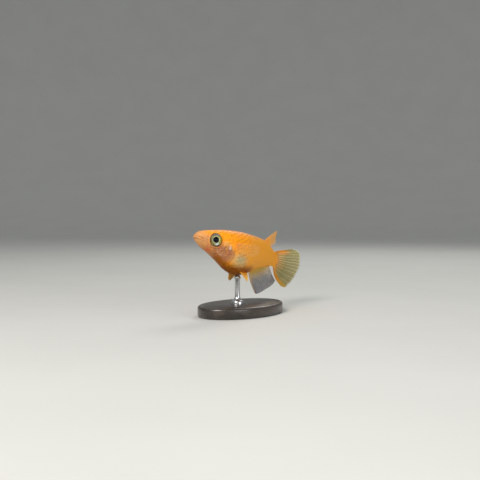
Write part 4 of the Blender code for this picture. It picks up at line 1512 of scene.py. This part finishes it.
def make_floor(tone):
    """The pale floor and backdrop, faintly clouded."""
    paint = Paint("pale_floor")
    cloud = paint.noise(paint.object_place(), 30.0)
    darker = tuple(value * 0.97 for value in tone)
    paint.set(Base_Color=paint.mix(paint.span(cloud, 0.3, 0.7), darker, tone), Roughness=0.7)
    mesh = backdrop_mesh()
    mesh.materials.append(paint.material)
    floor = bpy.data.objects.new("floor", mesh)
    bpy.context.scene.collection.objects.link(floor)


def light_sky(scene):
    """Soft light from all sides."""
    world = bpy.data.worlds.new("studio")
    world.use_nodes = True
    sky = world.node_tree.nodes["Background"].inputs
    sky["Color"].default_value = SKY_COLOUR
    sky["Strength"].default_value = SKY_STRENGTH
    scene.world = world
    scene.view_settings.view_transform = "Standard"


def set_camera(scene, stage, middle, back, right, up):
    """Puts the camera where the body's middle lands on its pixel, at the picture's scale."""
    focal = PICTURE_SIZE / 2.0 / math.tan(stage.view_angle / 2.0)
    distance = focal / (stage.scale * 1000.0)
    across = (stage.pixel_x - PICTURE_SIZE / 2.0) / focal * distance
    down = (stage.pixel_y - PICTURE_SIZE / 2.0) / focal * distance
    lens = bpy.data.cameras.new("camera")
    lens.sensor_width = SENSOR
    lens.lens = SENSOR / 2.0 / math.tan(stage.view_angle / 2.0)
    lens.clip_start = 0.005
    lens.clip_end = 10.0
    camera = bpy.data.objects.new("camera", lens)
    camera.location = middle + back * distance - right * across + up * down
    camera.rotation_euler = back.to_track_quat("Z", "Y").to_euler()
    scene.collection.objects.link(camera)
    scene.camera = camera


class MEDAKA_OT_stage(bpy.types.Operator):
    """Set the floor, the lights and the camera"""
    bl_idname = "medaka.stage"
    bl_label = "Stage"

    def execute(self, context):
        scene = context.scene
        stage = scene.medaka_stage
        make_floor(tuple(stage.floor))
        light_sky(scene)
        middle = Vector((0.0, 0.0, scene.medaka_body.height))
        turn, rise = stage.azimuth, stage.elevation
        back = Vector((math.sin(turn) * math.cos(rise), -math.cos(turn) * math.cos(rise), math.sin(rise)))
        right = Vector((math.cos(turn), math.sin(turn), 0.0))
        up = back.cross(right)
        set_camera(scene, stage, middle, back, right, up)
        for name, (offset, size, power, colour) in LIGHTS.items():
            spot = middle + back * offset[0] + right * offset[1] + up * offset[2]
            area_light(name, spot, middle, size, power, colour)
        return {"FINISHED"}


PIECES = ("skin", "scales", "eyes", "fins", "stand", "stage")
GROUPS = {"body": MedakaBody, "colours": MedakaColours, "scales": MedakaScales, "fins": MedakaFins,
          "stand": MedakaStand, "stage": MedakaStage}


class MEDAKA_PT_panel(bpy.types.Panel):
    """Lists the steps and the values of the medaka"""
    bl_idname = "MEDAKA_PT_panel"
    bl_label = "Medaka"
    bl_space_type = "VIEW_3D"
    bl_region_type = "UI"
    bl_category = "Medaka"

    def draw(self, context):
        for name in PIECES:
            self.layout.operator("medaka." + name)
        for name in GROUPS:
            group = getattr(context.scene, "medaka_" + name)
            box = self.layout.box()
            for key in group.__annotations__:
                box.prop(group, key)


CLASSES = (*GROUPS.values(), MEDAKA_OT_skin, MEDAKA_OT_scales, MEDAKA_OT_eyes, MEDAKA_OT_fins,
           MEDAKA_OT_stand, MEDAKA_OT_stage, MEDAKA_PT_panel)


def register():
    """Adds the classes to Blender and the values to each scene."""
    for made in CLASSES:
        bpy.utils.register_class(made)
    for name, group in GROUPS.items():
        setattr(bpy.types.Scene, "medaka_" + name, bpy.props.PointerProperty(type=group))


def unregister():
    """Takes the values and the classes out again."""
    for name in GROUPS:
        delattr(bpy.types.Scene, "medaka_" + name)
    for made in reversed(CLASSES):
        bpy.utils.unregister_class(made)


def main():
    """Makes every piece in order."""
    register()
    for name in PIECES:
        getattr(bpy.ops.medaka, name)()


if __name__ == "__main__":
    main()
